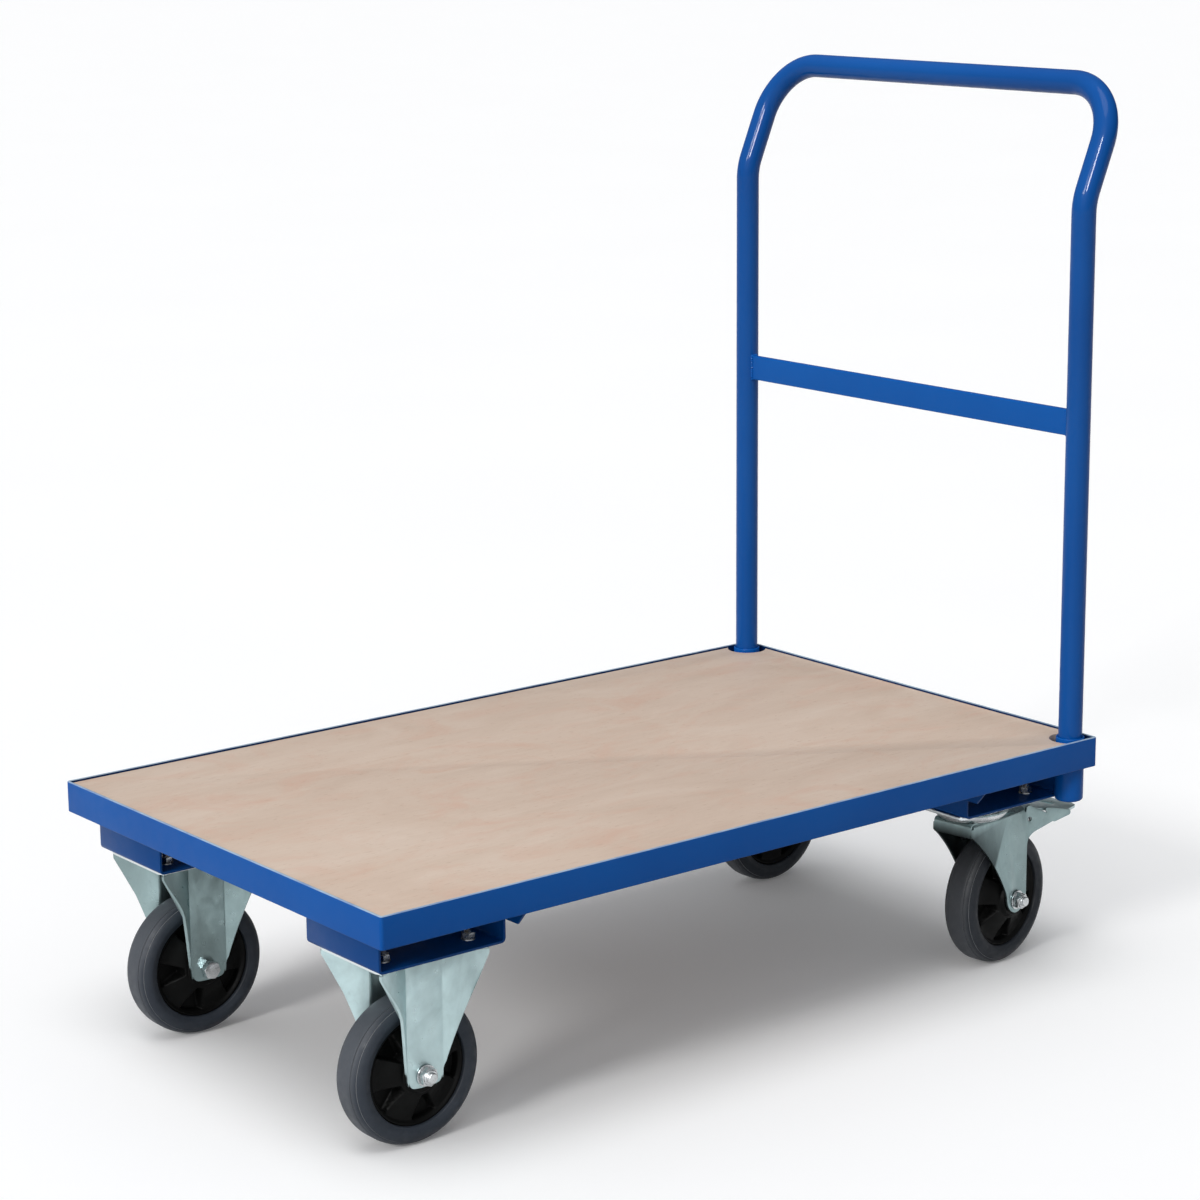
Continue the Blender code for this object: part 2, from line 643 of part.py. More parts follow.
def make_fork(side_name, zinc):
    """Crown, front skirt and two folded cheeks in one pressing."""
    middle = CHEEK_OUTER - SHEET / 2.0
    front_y = middle + (FRONT_CREASE - FRONT_EDGE) * math.sin(FRONT_FLARE)
    front_x = FRONT_CREASE - (FRONT_CREASE - FRONT_EDGE) * math.cos(FRONT_FLARE)
    crown_rear = WING_CREASE - 0.006
    right = [(front_x, front_y), (FRONT_CREASE, middle), (crown_rear, middle)]
    crown_outline = right + [(x, -y) for x, y in reversed(right)]
    fork = plate("swivel_fork_" + side_name, crown_outline, SHEET, zinc)
    transform_mesh(fork, Matrix.Translation((0.0, 0.0, CROWN_TOP - SHEET / 2.0)))
    skirt = box("skirt", (front_x + 0.0001, -front_y, SKIRT_LOW),
                (front_x + SHEET, front_y, CROWN_TOP - 0.001), zinc)
    combine(fork, skirt, "UNION")
    for side in (-1.0, 1.0):
        cheek = plate("cheek", cheek_outline(), SHEET, zinc)
        stand_up(cheek, side * middle)
        fold(cheek, WING_CREASE, 1.0, side * WING_FLARE, side * middle)
        fold(cheek, FRONT_CREASE, -1.0, -side * FRONT_FLARE, side * middle)
        combine(fork, cheek, "UNION")
    drill_across(fork, SWIVEL_TRAIL, WHEEL_RADIUS, AXLE_RADIUS + GAP, zinc)
    drill_across(fork, BRAKE_PIVOT[0], BRAKE_PIVOT[1], BRAKE_PIN_RADIUS + GAP, zinc)
    hole = cylinder("hole", KINGPIN_RADIUS + GAP, CROWN_TOP - 0.01, CROWN_TOP + 0.01, zinc)
    combine(fork, hole, "DIFFERENCE")
    smooth(fork)
    return fork


def make_brake_pin(side_name, steel):
    half = CHEEK_OUTER + 0.0025
    pin = cylinder("brake_pin_" + side_name, BRAKE_PIN_RADIUS, -half, half, steel)
    transform_mesh(pin, Matrix.Translation((BRAKE_PIVOT[0], 0.0, BRAKE_PIVOT[1]))
                   @ Matrix.Rotation(math.pi / 2, 4, "X"))
    return pin


def make_brake_pedal(side_name, zinc):
    """Foot plate between the wings, with two ears on the brake pin and a shoe over the tyre."""
    heel = WING_CREASE - 0.002
    heel_half = CHEEK_INNER - 0.002
    wide_half = CHEEK_INNER + (PEDAL_WIDE - WING_CREASE) * math.tan(WING_FLARE) - 0.003
    right = [(heel, heel_half), (WING_CREASE + 0.002, heel_half), (PEDAL_WIDE, wide_half),
             (PEDAL_NOSE[0], wide_half - 0.008), (PEDAL_NOSE[1], wide_half - 0.020)]
    outline = right + [(x, -y) for x, y in reversed(right)]
    pedal = plate("brake_pedal_" + side_name, outline, SHEET, zinc)
    pitch = Matrix.Rotation(PEDAL_PITCH, 4, "Y")
    lift = Matrix.Translation((heel, 0.0, PEDAL_TOP)) @ pitch
    transform_mesh(pedal, lift @ Matrix.Translation((-heel, 0.0, -SHEET / 2.0)))
    pivot_x, pivot_z = BRAKE_PIVOT
    ear_top = pivot_z + EAR_RISE
    ear_outline = [(heel, ear_top), (heel, pivot_z)]
    ear_outline += arc((pivot_x, pivot_z), pivot_x - heel, 180, 360, 8)
    ear_outline += [(pivot_x + 0.012, ear_top)]
    for side in (-1.0, 1.0):
        ear = plate("ear", ear_outline, SHEET, zinc)
        stand_up(ear, side * (heel_half - SHEET / 2.0 - 0.0005))
        combine(pedal, ear, "UNION")
    shoe_outline = [(SHOE_X[0], ear_top), (SHOE_X[0], SHOE_LOW[0]), (SHOE_X[1], SHOE_LOW[1]),
                    (SHOE_X[1], ear_top - 0.002)]
    shoe = plate("shoe", shoe_outline, SHOE_WIDTH, zinc)
    stand_up(shoe)
    combine(pedal, shoe, "UNION")
    slot_front, slot_rear, slot_half = PEDAL_SLOT
    slot = box("slot", (slot_front, -slot_half, SHOE_LOW[0]),
               (slot_rear, slot_half, CROWN_TOP + SHEET), zinc)
    combine(pedal, slot, "DIFFERENCE")
    drill_across(pedal, pivot_x, pivot_z, BRAKE_PIN_RADIUS + GAP, zinc)
    return pedal


def make_swivel_castor(side_name, side, materials):
    zinc = materials["zinc"]
    wheel_and_axle = make_wheel("swivel", side_name, materials)
    wheel_and_axle += make_axle("swivel", side_name, side, materials)
    for piece in wheel_and_axle:
        transform_mesh(piece, Matrix.Translation((SWIVEL_TRAIL, 0.0, 0.0)))
    turning = [make_fork(side_name, zinc), make_brake_pin(side_name, materials["bearing_steel"]),
               make_brake_pedal(side_name, zinc)] + wheel_and_axle
    kingpin = deck_point(SWIVEL_X, side * CASTOR_Y)
    place(make_swivel_head(side_name, materials), kingpin)
    place(turning, kingpin, SWIVEL_YAW[side_name])


def set_origin(name, point):
    """Move an object's origin to a point of the trolley's frame; its shape stays in place."""
    piece = bpy.data.objects[name]
    bpy.context.view_layer.update()
    shift = piece.matrix_world.inverted() @ Vector(point)
    transform_mesh(piece, Matrix.Translation(-shift))
    piece.matrix_world = piece.matrix_world @ Matrix.Translation(shift)


def set_joint_origins():
    """Wheels turn about their axles and pedals about their pins."""
    for side_name, side in SIDES.items():
        axle = deck_point(FIXED_X, side * CASTOR_Y, WHEEL_RADIUS)
        for piece in ("tyre", "rim", "roller_bearing"):
            set_origin("fixed_" + piece + "_" + side_name, axle)
        turn = Matrix.Rotation(SWIVEL_YAW[side_name], 3, "Z")
        kingpin = deck_point(SWIVEL_X, side * CASTOR_Y)
        axle = kingpin + turn @ Vector((SWIVEL_TRAIL, 0.0, WHEEL_RADIUS))
        for piece in ("tyre", "rim", "roller_bearing"):
            set_origin("swivel_" + piece + "_" + side_name, axle)
        pivot = kingpin + turn @ Vector((BRAKE_PIVOT[0], 0.0, BRAKE_PIVOT[1]))
        set_origin("brake_pedal_" + side_name, pivot)


def main():
    clear_scene()
    collection = bpy.data.collections.new(COLLECTION)
    bpy.context.scene.collection.children.link(collection)
    materials = make_materials()
    paint = materials["blue_paint"]
    make_frame(paint)
    make_deck_board(materials["plywood"])
    for end_name, end in (("front", -1.0), ("rear", 1.0)):
        make_cross_member(end_name, end, paint)
        for side_name, side in SIDES.items():
            make_castor_bracket(end_name, end, side_name, side, paint)
    for side_name, side in SIDES.items():
        make_handle_socket(side_name, side, paint)
        make_fixed_castor(side_name, side, materials)
        make_swivel_castor(side_name, side, materials)
    make_handle(paint)
    set_joint_origins()
    bpy.context.view_layer.update()


main()
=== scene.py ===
"""Looks of the platform trolley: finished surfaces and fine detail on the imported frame.

Rear (+X) is the handle end, left is -Y.  All lengths are metres.
"""

import math

import bmesh
import bpy
from mathutils import Matrix, Vector
from mathutils.geometry import tessellate_polygon


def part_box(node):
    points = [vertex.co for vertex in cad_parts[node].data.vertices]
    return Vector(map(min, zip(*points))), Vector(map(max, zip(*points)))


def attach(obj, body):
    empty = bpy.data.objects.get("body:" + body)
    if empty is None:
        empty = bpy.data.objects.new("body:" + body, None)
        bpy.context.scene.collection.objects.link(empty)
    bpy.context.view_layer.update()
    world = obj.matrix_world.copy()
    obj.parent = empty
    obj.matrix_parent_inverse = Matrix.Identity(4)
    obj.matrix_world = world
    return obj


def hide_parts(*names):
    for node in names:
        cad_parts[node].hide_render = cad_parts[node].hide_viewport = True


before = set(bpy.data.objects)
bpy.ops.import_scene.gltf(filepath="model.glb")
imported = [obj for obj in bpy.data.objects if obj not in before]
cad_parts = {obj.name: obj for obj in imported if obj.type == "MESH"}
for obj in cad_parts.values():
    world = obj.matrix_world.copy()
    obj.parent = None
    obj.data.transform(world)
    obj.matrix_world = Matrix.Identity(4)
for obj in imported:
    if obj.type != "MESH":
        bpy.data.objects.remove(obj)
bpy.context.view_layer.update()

SIDES = {"left": -1.0, "right": 1.0}
ENDS = ("front", "rear")


def add_object(name, data):
    thing = bpy.data.objects.new(name, data)
    bpy.context.scene.collection.objects.link(thing)
    return thing


# ---- camera ----
CAMERA_PLACE = (-2.1728, -2.7164, 1.2727)
CAMERA_AZIMUTH = math.radians(-38.481)
CAMERA_ELEVATION = math.radians(13.046)
CAMERA_ROLL = math.radians(-0.474)
CAMERA_LENS = 95.145         # millimetres on a 36 mm sensor


def make_camera():
    camera = add_object("camera", bpy.data.cameras.new("camera"))
    camera.data.sensor_width = 36.0
    camera.data.lens = CAMERA_LENS
    turn = Matrix.Rotation(CAMERA_AZIMUTH, 4, "Z")
    tilt = Matrix.Rotation(math.pi / 2.0 - CAMERA_ELEVATION, 4, "X")
    roll = Matrix.Rotation(CAMERA_ROLL, 4, "Z")
    camera.matrix_world = Matrix.Translation(CAMERA_PLACE) @ turn @ tilt @ roll
    bpy.context.scene.camera = camera


# ---- materials ----
WHITE = (1.0, 1.0, 1.0)
PAINT_DEEP = (0.0006, 0.087, 0.380)
PAINT_LIGHT = (0.0012, 0.105, 0.435)
PAINT_DUST = (0.05, 0.18, 0.43)
# Painted shade and painted highlight for the rim's paint
PAINT_SHADE = (0.001, 0.008, 0.040)
PAINT_HIGHLIGHT = (0.46, 0.60, 0.70)
BEECH_DARK = (0.580, 0.452, 0.366)
BEECH = (0.615, 0.490, 0.402)
BEECH_PALE = (0.648, 0.532, 0.446)
BEECH_LINE = (0.93, 0.91, 0.89)
BEECH_PATCH = (0.600, 0.395, 0.305)
BEECH_STREAK = (0.60, 0.40, 0.30)
BEECH_FLECK = (0.42, 0.28, 0.20)
BRIGHT_ZINC = (0.485, 0.62, 0.63)
# Darker zinc: painted shade
SHADED_ZINC = (0.29, 0.385, 0.39)
ZINC_ROLLED = (0.90, 0.91, 0.92)
# Painted shade and painted highlight on zinc
ZINC_SHADE = (0.012, 0.016, 0.018)
ZINC_HIGHLIGHT = (0.86, 0.89, 0.91)
RUBBER_DEEP = (0.026, 0.034, 0.048)
RUBBER_LIGHT = (0.038, 0.048, 0.064)
RUBBER_BLOOM = (0.085, 0.09, 0.10)
# Painted highlight on the tyres
RUBBER_HIGHLIGHT = (0.38, 0.39, 0.41)
PLASTIC_DEEP, PLASTIC_LIGHT = (0.0026, 0.0028, 0.0027), (0.0052, 0.0056, 0.0054)
STEEL_DEEP, STEEL_LIGHT = (0.42, 0.44, 0.45), (0.66, 0.68, 0.69)


def toned(colour, factor):
    """A colour made darker or lighter."""
    return tuple(factor * channel for channel in colour)


class Graph:
    """The shader nodes of a material or a world."""

    def __init__(self, owner):
        owner.use_nodes = True
        self.tree = owner.node_tree

    def add(self, kind, inputs=(), **settings):
        """A node with its settings; each of its inputs gets a plain value or a link."""
        node = self.tree.nodes.new(kind)
        for name, value in settings.items():
            setattr(node, name, value)
        for name, value in dict(inputs).items():
            if isinstance(value, bpy.types.NodeSocket):
                self.link(value, node.inputs[name])
            else:
                node.inputs[name].default_value = value
        return node

    def link(self, source, target):
        self.tree.links.new(source, target)

    def remap(self, value, low, high, to_low, to_high):
        node = self.add("ShaderNodeMapRange", {"Value": value, "From Min": low, "From Max": high,
                                               "To Min": to_low, "To Max": to_high})
        return node.outputs["Result"]

    def ramp(self, value, *stops):
        """Colour ramp; each stop is (position, colour)."""
        node = self.add("ShaderNodeValToRGB")
        elements = node.color_ramp.elements
        while len(elements) < len(stops):
            elements.new(0.5)
        for element, (position, colour) in zip(elements, stops):
            element.position = position
            element.color = (*colour, 1.0)
        self.link(value, node.inputs["Fac"])
        return node.outputs["Color"]

    def mix(self, factor, first, second, blend="MIX"):
        """Mix two colours; each is a socket or a plain colour."""
        node = self.add("ShaderNodeMix", data_type="RGBA", blend_type=blend)
        for name, value in (("Factor", factor), ("A", first), ("B", second)):
            socket = [s for s in node.inputs if s.name == name and s.enabled][0]
            if isinstance(value, bpy.types.NodeSocket):
                self.link(value, socket)
            elif name == "Factor":
                socket.default_value = value
            else:
                socket.default_value = (*value, 1.0)
        return [s for s in node.outputs if s.enabled][0]

    def multiply(self, first, second):
        node = self.add("ShaderNodeMath", {0: first, 1: second}, operation="MULTIPLY")
        return node.outputs["Value"]

    def dot(self, first, second):
        node = self.add("ShaderNodeVectorMath", {0: first, 1: second}, operation="DOT_PRODUCT")
        return node.outputs["Value"]


class Surface(Graph):
    """A Principled material built up node by node, in the piece's own coordinates."""

    def __init__(self, name, roughness, metallic=0.0, **sockets):
        self.material = bpy.data.materials.new(name)
        super().__init__(self.material)
        self.shader = self.tree.nodes["Principled BSDF"]
        sockets.update(Roughness=roughness, Metallic=metallic)
        for socket, value in sockets.items():
            self.shader.inputs[socket.replace("_", " ")].default_value = value
        coordinates = self.add("ShaderNodeTexCoord")
        self.place = coordinates.outputs["Object"]
        self.normal = coordinates.outputs["Normal"]

    def noise(self, scale, detail=3.0, stretch=(1.0, 1.0, 1.0), distortion=0.0, rough=0.5):
        """Noise in the piece's coordinates, which are scaled along each axis by stretch."""
        mapping = self.add("ShaderNodeMapping", {"Scale": stretch, "Vector": self.place})
        node = self.add("ShaderNodeTexNoise", {"Scale": scale, "Detail": detail,
                                               "Roughness": rough, "Distortion": distortion,
                                               "Vector": mapping.outputs["Vector"]})
        return node.outputs["Fac"]

    def patches(self, low, high, amount, *noise, **settings):
        """Patches of a noise: 0 where it is below low, the amount where it is above high."""
        return self.remap(self.noise(*noise, **settings), low, high, 0.0, amount)

    def facing(self, direction):
        """How far the surface faces a direction, -1 to 1."""
        return self.dot(self.normal, direction)

    def outwardness(self):
        """Positive where the surface faces away from the middle of the trolley."""
        level = self.add("ShaderNodeVectorMath", {0: self.place, 1: (1.0, 1.0, 0.0)},
                         operation="MULTIPLY")
        return self.dot(level.outputs["Vector"], self.normal)

    def attribute(self, name):
        """A value stored on the mesh's points."""
        return self.add("ShaderNodeAttribute", attribute_name=name).outputs["Fac"]

    def colour(self, socket):
        self.link(socket, self.shader.inputs["Base Color"])

    def roughness(self, value, low, high):
        """Roughness that follows a 0 to 1 value."""
        self.link(self.remap(value, 0.3, 0.7, low, high), self.shader.inputs["Roughness"])

    def bump(self, *layers):
        """Stack of (height socket, depth in metres)."""
        normal = None
        for height, depth in layers:
            node = self.add("ShaderNodeBump", {"Distance": depth, "Height": height})
            if normal is not None:
                self.link(normal, node.inputs["Normal"])
            normal = node.outputs["Normal"]
        self.link(normal, self.shader.inputs["Normal"])


def paint_surface(name, depth, painted_light_and_shade=False, gloss=0.16):
    """Glossy blue powder coat with a faint orange peel and a little dust; depth scales its tone.

    Optionally the upward faces carry a mottled painted highlight and the faces turned towards the
    deck a painted shade.
    """
    paint = Surface(name, 0.40, IOR=1.5, Specular_IOR_Level=0.05, Coat_Weight=gloss,
                    Coat_Roughness=0.09)
    body = paint.ramp(paint.noise(5.0, 4.0), (0.30, toned(PAINT_DEEP, depth)),
                      (0.70, toned(PAINT_LIGHT, depth)))
    tone = paint.mix(paint.patches(0.58, 0.82, 0.05, 38.0, 6.0, rough=0.65), body, PAINT_DUST)
    if painted_light_and_shade:
        # Painted shade on the faces turned towards the middle of the trolley
        grime = paint.remap(paint.outwardness(), -0.02, -0.15, 0.0, 0.85)
        tone = paint.mix(grime, tone, PAINT_SHADE)
        # Painted highlight on upward faces, mottled by noise
        upward = paint.remap(paint.facing((0.0, 0.0, 1.0)), 0.20, 0.50, 0.0, 1.0)
        highlight_mottle = paint.remap(paint.noise(30.0, 3.0), 0.30, 0.60, 0.45, 0.80)
        tone = paint.mix(paint.multiply(upward, highlight_mottle), tone, PAINT_HIGHLIGHT)
    paint.colour(tone)
    paint.roughness(paint.noise(60.0, 3.0), 0.34, 0.48)
    paint.bump((paint.noise(420.0, 2.0), 0.00004), (paint.noise(70.0, 2.0), 0.00005))
    return paint.material


def plywood_surface():
    """Bare beech veneer: soft figure along the length, short dark flecks, faint pink patches."""
    wood = Surface("beech_plywood", 0.62, IOR=1.45, Specular_IOR_Level=0.3)
    figure = wood.noise(4.2, 7.0, (1.0, 2.1, 2.1), 1.1, 0.62)
    fine = wood.noise(9.0, 6.0, (1.0, 22.0, 22.0), 0.3, 0.6)
    body = wood.ramp(figure, (0.30, BEECH_DARK), (0.50, BEECH), (0.72, BEECH_PALE))
    lines = wood.ramp(fine, (0.30, BEECH_LINE), (0.62, WHITE))
    tone = wood.mix(0.6, body, lines, "MULTIPLY")
    patch = wood.patches(0.50, 0.70, 0.62, 7.0, 6.0, (1.0, 1.7, 1.7), 1.4, 0.68)
    streak = wood.patches(0.60, 0.76, 0.30, 14.0, 5.0, (1.0, 3.0, 3.0), 1.2)
    fleck = wood.patches(0.62, 0.74, 0.42, 90.0, 3.0, (1.0, 4.0, 4.0))
    for amount, colour in ((patch, BEECH_PATCH), (streak, BEECH_STREAK), (fleck, BEECH_FLECK)):
        tone = wood.mix(amount, tone, colour)
    wood.colour(tone)
    wood.roughness(fine, 0.54, 0.70)
    wood.bump((fine, 0.0003), (wood.noise(260.0, 2.0, (1.0, 6.0, 6.0)), 0.0001))
    return wood.material


def zinc_surface(name, tint, roughness):
    """Bright zinc plate on pressed steel: rolling grain, cloudy passivation, small stains."""
    zinc = Surface(name, roughness, 0.92)
    cloud = zinc.noise(16.0, 5.0, (1.0, 1.0, 0.6), 0.6, 0.6)
    body = zinc.ramp(cloud, (0.32, toned(tint, 0.70)), (0.68, toned(tint, 1.18)))
    rolled = zinc.ramp(zinc.noise(40.0, 4.0, (1.0, 1.0, 0.12)), (0.35, ZINC_ROLLED), (0.65, WHITE))
    tone = zinc.mix(0.6, body, rolled, "MULTIPLY")
    tone = zinc.mix(zinc.patches(0.60, 0.78, 0.28, 75.0, 4.0, rough=0.7), tone, toned(tint, 0.55))
    # Painted shade wherever the mesh marks it
    tone = zinc.mix(zinc.attribute("grime"), tone, ZINC_SHADE)
    # Painted highlight wherever the mesh marks it
    zinc.colour(zinc.mix(zinc.attribute("polish"), tone, ZINC_HIGHLIGHT))
    zinc.roughness(zinc.noise(90.0, 4.0), roughness - 0.07, roughness + 0.10)
    zinc.bump((zinc.noise(300.0, 3.0), 0.00005), (zinc.noise(30.0, 3.0), 0.0003))
    return zinc.material


def rubber_surface(name, depth):
    """Dark grey-blue solid rubber with a dusty bloom; depth scales its tone."""
    rubber = Surface(name, 0.55, IOR=1.52, Specular_IOR_Level=0.30)
    body = rubber.ramp(rubber.noise(22.0, 5.0, rough=0.6), (0.32, toned(RUBBER_DEEP, depth)),
                       (0.70, toned(RUBBER_LIGHT, depth)))
    bloom = rubber.patches(0.52, 0.80, 0.22, 90.0, 5.0, rough=0.7)
    tone = rubber.mix(bloom, body, RUBBER_BLOOM)
    # Painted highlight, pale, wherever the mesh marks it
    rubber.colour(rubber.mix(rubber.attribute("dust"), tone, RUBBER_HIGHLIGHT))
    rubber.roughness(rubber.noise(120.0, 3.0), 0.46, 0.66)
    rubber.bump((rubber.noise(700.0, 2.0), 0.00006), (rubber.noise(130.0, 3.0), 0.00010))
    return rubber.material


def plastic_surface():
    """Black moulded plastic with a fine spark-eroded texture."""
    plastic = Surface("black_moulded_plastic", 0.46, IOR=1.46, Specular_IOR_Level=0.10)
    cloud = plastic.noise(45.0, 4.0)
    plastic.colour(plastic.ramp(cloud, (0.35, PLASTIC_DEEP), (0.70, PLASTIC_LIGHT)))
    plastic.roughness(plastic.noise(160.0, 3.0), 0.40, 0.58)
    plastic.bump((plastic.noise(1100.0, 2.0), 0.00005))
    return plastic.material


def steel_surface():
    """Bright machined and plated fasteners."""
    steel = Surface("bright_steel", 0.26, 1.0)
    cloud = steel.noise(70.0, 4.0)
    steel.colour(steel.ramp(cloud, (0.32, STEEL_DEEP), (0.68, STEEL_LIGHT)))
    steel.roughness(steel.noise(240.0, 3.0), 0.20, 0.36)
    steel.bump((steel.noise(600.0, 2.0), 0.00001))
    return steel.material


def make_materials():
    return {
        "blue_paint": paint_surface("blue_powder_coat", 1.0),
        # Rim paint: painted highlight on upward faces, painted shade on faces towards the deck
        "rim_paint": paint_surface("painted_light_powder_coat", 1.0, painted_light_and_shade=True),
        "handle_paint": paint_surface("polished_powder_coat", 0.84, gloss=0.24),
        # A darker copy of the blue paint: painted shade for the channels and angles under the deck
        "shaded_paint": paint_surface("dusty_powder_coat", 0.66),
        "plywood": plywood_surface(),
        "zinc": zinc_surface("zinc_plate", BRIGHT_ZINC, 0.34),
        # A darker copy of the zinc: painted shade for the right fixed castor and the swivel forks
        "shaded_zinc": zinc_surface("shaded_zinc_plate", SHADED_ZINC, 0.32),
        "tyre_rubber": rubber_surface("grey_rubber", 1.0),
        "dark_rubber": rubber_surface("dark_grey_rubber", 0.5),
        "rim_plastic": plastic_surface(),
        "bearing_steel": steel_surface(),
    }


MATERIALS = make_materials()


# ---- pieces ----
shift = Matrix.Translation
LAY_FLAT = Matrix.Rotation(-math.pi / 2.0, 4, "X")      # turns Z into Y


def lifted(height):
    return shift((0.0, 0.0, height))


def smooth(mesh, sharp):
    """Smooth shading, except over edges sharper than this many degrees."""
    mesh.shade_smooth()
    mesh.set_sharp_from_angle(angle=math.radians(sharp))


def mark(mesh, name, amount):
    """Store amount(point) on each of a mesh's points, for its material to read."""
    marks = mesh.attributes.new(name, "FLOAT", "POINT")
    for vertex, value in zip(mesh.vertices, marks.data):
        value.value = amount(vertex.co)


def smoothstep(value, low, high):
    t = min(max((value - low) / (high - low), 0.0), 1.0)
    return t * t * (3.0 - 2.0 * t)


def settle(piece, body, slot, replaced=(), place=None, finish=None, **marks):
    """Put a piece in place, give it its material and marks, and let it ride on its body."""
    for name, amount in marks.items():
        mark(piece.data, name, amount)
    piece.data.materials.clear()
    piece.data.materials.append(MATERIALS[finish or slot])
    if place is not None:
        piece.data.transform(place)
    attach(piece, body)
    if replaced:
        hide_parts(*replaced)
    return piece


def new_piece(name, bm, sharp=35.0):
    """An object from a bmesh, smooth except over sharp edges."""
    bmesh.ops.recalc_face_normals(bm, faces=bm.faces)
    mesh = bpy.data.meshes.new(name)
    bm.to_mesh(mesh)
    bm.free()
    smooth(mesh, sharp)
    return add_object(name, mesh)


def build(name, bm, body, slot, replaced=(), place=None, finish=None, **marks):
    """A settled piece from a bmesh with the usual sharp edges."""
    return settle(new_piece(name, bm), body, slot, replaced, place, finish, **marks)


def bake_modifiers(piece):
    """Replace the mesh with its evaluated copy."""
    bpy.context.view_layer.update()
    evaluated = piece.evaluated_get(bpy.context.evaluated_depsgraph_get())
    mesh = bpy.data.meshes.new_from_object(evaluated)
    piece.modifiers.clear()
    piece.data = mesh


def merged(first, second):
    """Add a second bmesh to the first."""
    spare = bpy.data.meshes.new("spare")
    second.to_mesh(spare)
    second.free()
    first.from_mesh(spare)
    bpy.data.meshes.remove(spare)
    return first


def arc(centre, radius, start, end, steps, squash=1.0):
    """Points on an arc or, with squash, an ellipse; angles in degrees."""
    points = []
    for i in range(steps + 1):
        angle = math.radians(start + (end - start) * i / steps)
        points.append((centre[0] + radius * math.cos(angle),
                       centre[1] + radius * squash * math.sin(angle)))
    return points


def bow(start, control, end, steps):
    """Points on a quadratic curve."""
    points = []
    for i in range(steps + 1):
        t = i / steps
        points.append(tuple((1 - t) ** 2 * a + 2 * t * (1 - t) * b + t * t * c
                            for a, b, c in zip(start, control, end)))
    return points


def turns(steps):
    """Equally spaced angles round a circle, in radians."""
    return [2.0 * math.pi * k / steps for k in range(steps)]


def polar(radius, angle, height=0.0):
    return (radius * math.cos(angle), radius * math.sin(angle), height)


def both_ways(half):
    """A profile of (radius, height) points, followed by its mirror image below."""
    return half + [(radius, -height) for radius, height in reversed(half)]


def lathe(profile, steps, closed=True):
    """Turn (radius, height) points about Z; a radius of 0 closes the end."""
    bm = bmesh.new()
    rings = []
    for radius, height in profile:
        if radius < 1e-7:
            rings.append([bm.verts.new((0.0, 0.0, height))])
        else:
            rings.append([bm.verts.new(polar(radius, angle, height)) for angle in turns(steps)])
    pairs = list(zip(rings, rings[1:]))
    if closed:
        pairs.append((rings[-1], rings[0]))
    for one, two in pairs:
        join_rings(bm, one, two)
    return bm


def join_rings(bm, one, two):
    """Faces between two rings of equal size, or between a ring and a point."""
    steps = max(len(one), len(two))
    if steps == 1:
        return
    for k in range(steps):
        nxt = (k + 1) % steps
        corners = [one[k % len(one)], one[nxt % len(one)], two[nxt % len(two)], two[k % len(two)]]
        unique = []
        for corner in corners:
            if corner not in unique:
                unique.append(corner)
        bm.faces.new(unique)


def blank(outline, thickness, holes=()):
    """Flat sheet in the XZ plane, thickness along Y, from an outline and its holes."""
    bm = bmesh.new()
    loops = [list(outline)] + [list(hole) for hole in holes]
    layers = []
    for y in (-thickness / 2.0, thickness / 2.0):
        layers.append([[bm.verts.new((x, y, z)) for x, z in loop] for loop in loops])
    flat = [[Vector((x, z, 0.0)) for x, z in loop] for loop in loops]
    for layer in layers:
        vertices = [v for loop in layer for v in loop]
        for triangle in tessellate_polygon(flat):
            bm.faces.new([vertices[i] for i in triangle])
    for low, high in zip(*layers):
        for k in range(len(low)):
            nxt = (k + 1) % len(low)
            bm.faces.new([low[k], low[nxt], high[nxt], high[k]])
    bmesh.ops.recalc_face_normals(bm, faces=bm.faces)
    bmesh.ops.dissolve_limit(bm, angle_limit=math.radians(0.5), verts=bm.verts, edges=bm.edges)
    return bm


def whole(bm):
    return bm.verts[:] + bm.edges[:] + bm.faces[:]


def bend(bm, crease, direction, angle, radius, steps=5, axis="x", within=lambda x: True):
    """Bend a blank round an arc centred on a crease.

    The blank lies in XZ; axis "x" bends what is beyond x = crease about an upright line, and
    axis "z" what is beyond z = crease about a level line.  A positive angle bends towards +Y.
    Only points whose x passes the test within(x) move.
    """
    along = 0 if axis == "x" else 2
    length = radius * abs(angle)
    start = -length / 2.0
    plane = [0.0, 0.0, 0.0]
    normal = [0.0, 0.0, 0.0]
    normal[along] = 1.0
    for i in range(steps + 1):
        plane[along] = crease + direction * (start + length * i / steps)
        bmesh.ops.bisect_plane(bm, geom=whole(bm), plane_co=plane, plane_no=normal)
    sign = 1.0 if angle > 0 else -1.0
    for vertex in bm.verts:
        distance = (vertex.co[along] - crease) * direction - start
        if distance <= 0.0 or not within(vertex.co.x):
            continue
        turn = min(distance, length) / radius
        rest = max(distance - length, 0.0)
        out = radius * math.sin(turn) + rest * math.cos(turn)
        side = sign * (radius * (1 - math.cos(turn)) + rest * math.sin(turn))
        offset = vertex.co.y
        vertex.co[along] = crease + direction * (start + out - sign * offset * math.sin(turn))
        vertex.co.y = side + offset * math.cos(turn)


def move(bm, matrix):
    bmesh.ops.transform(bm, matrix=matrix, verts=bm.verts)
    return bm


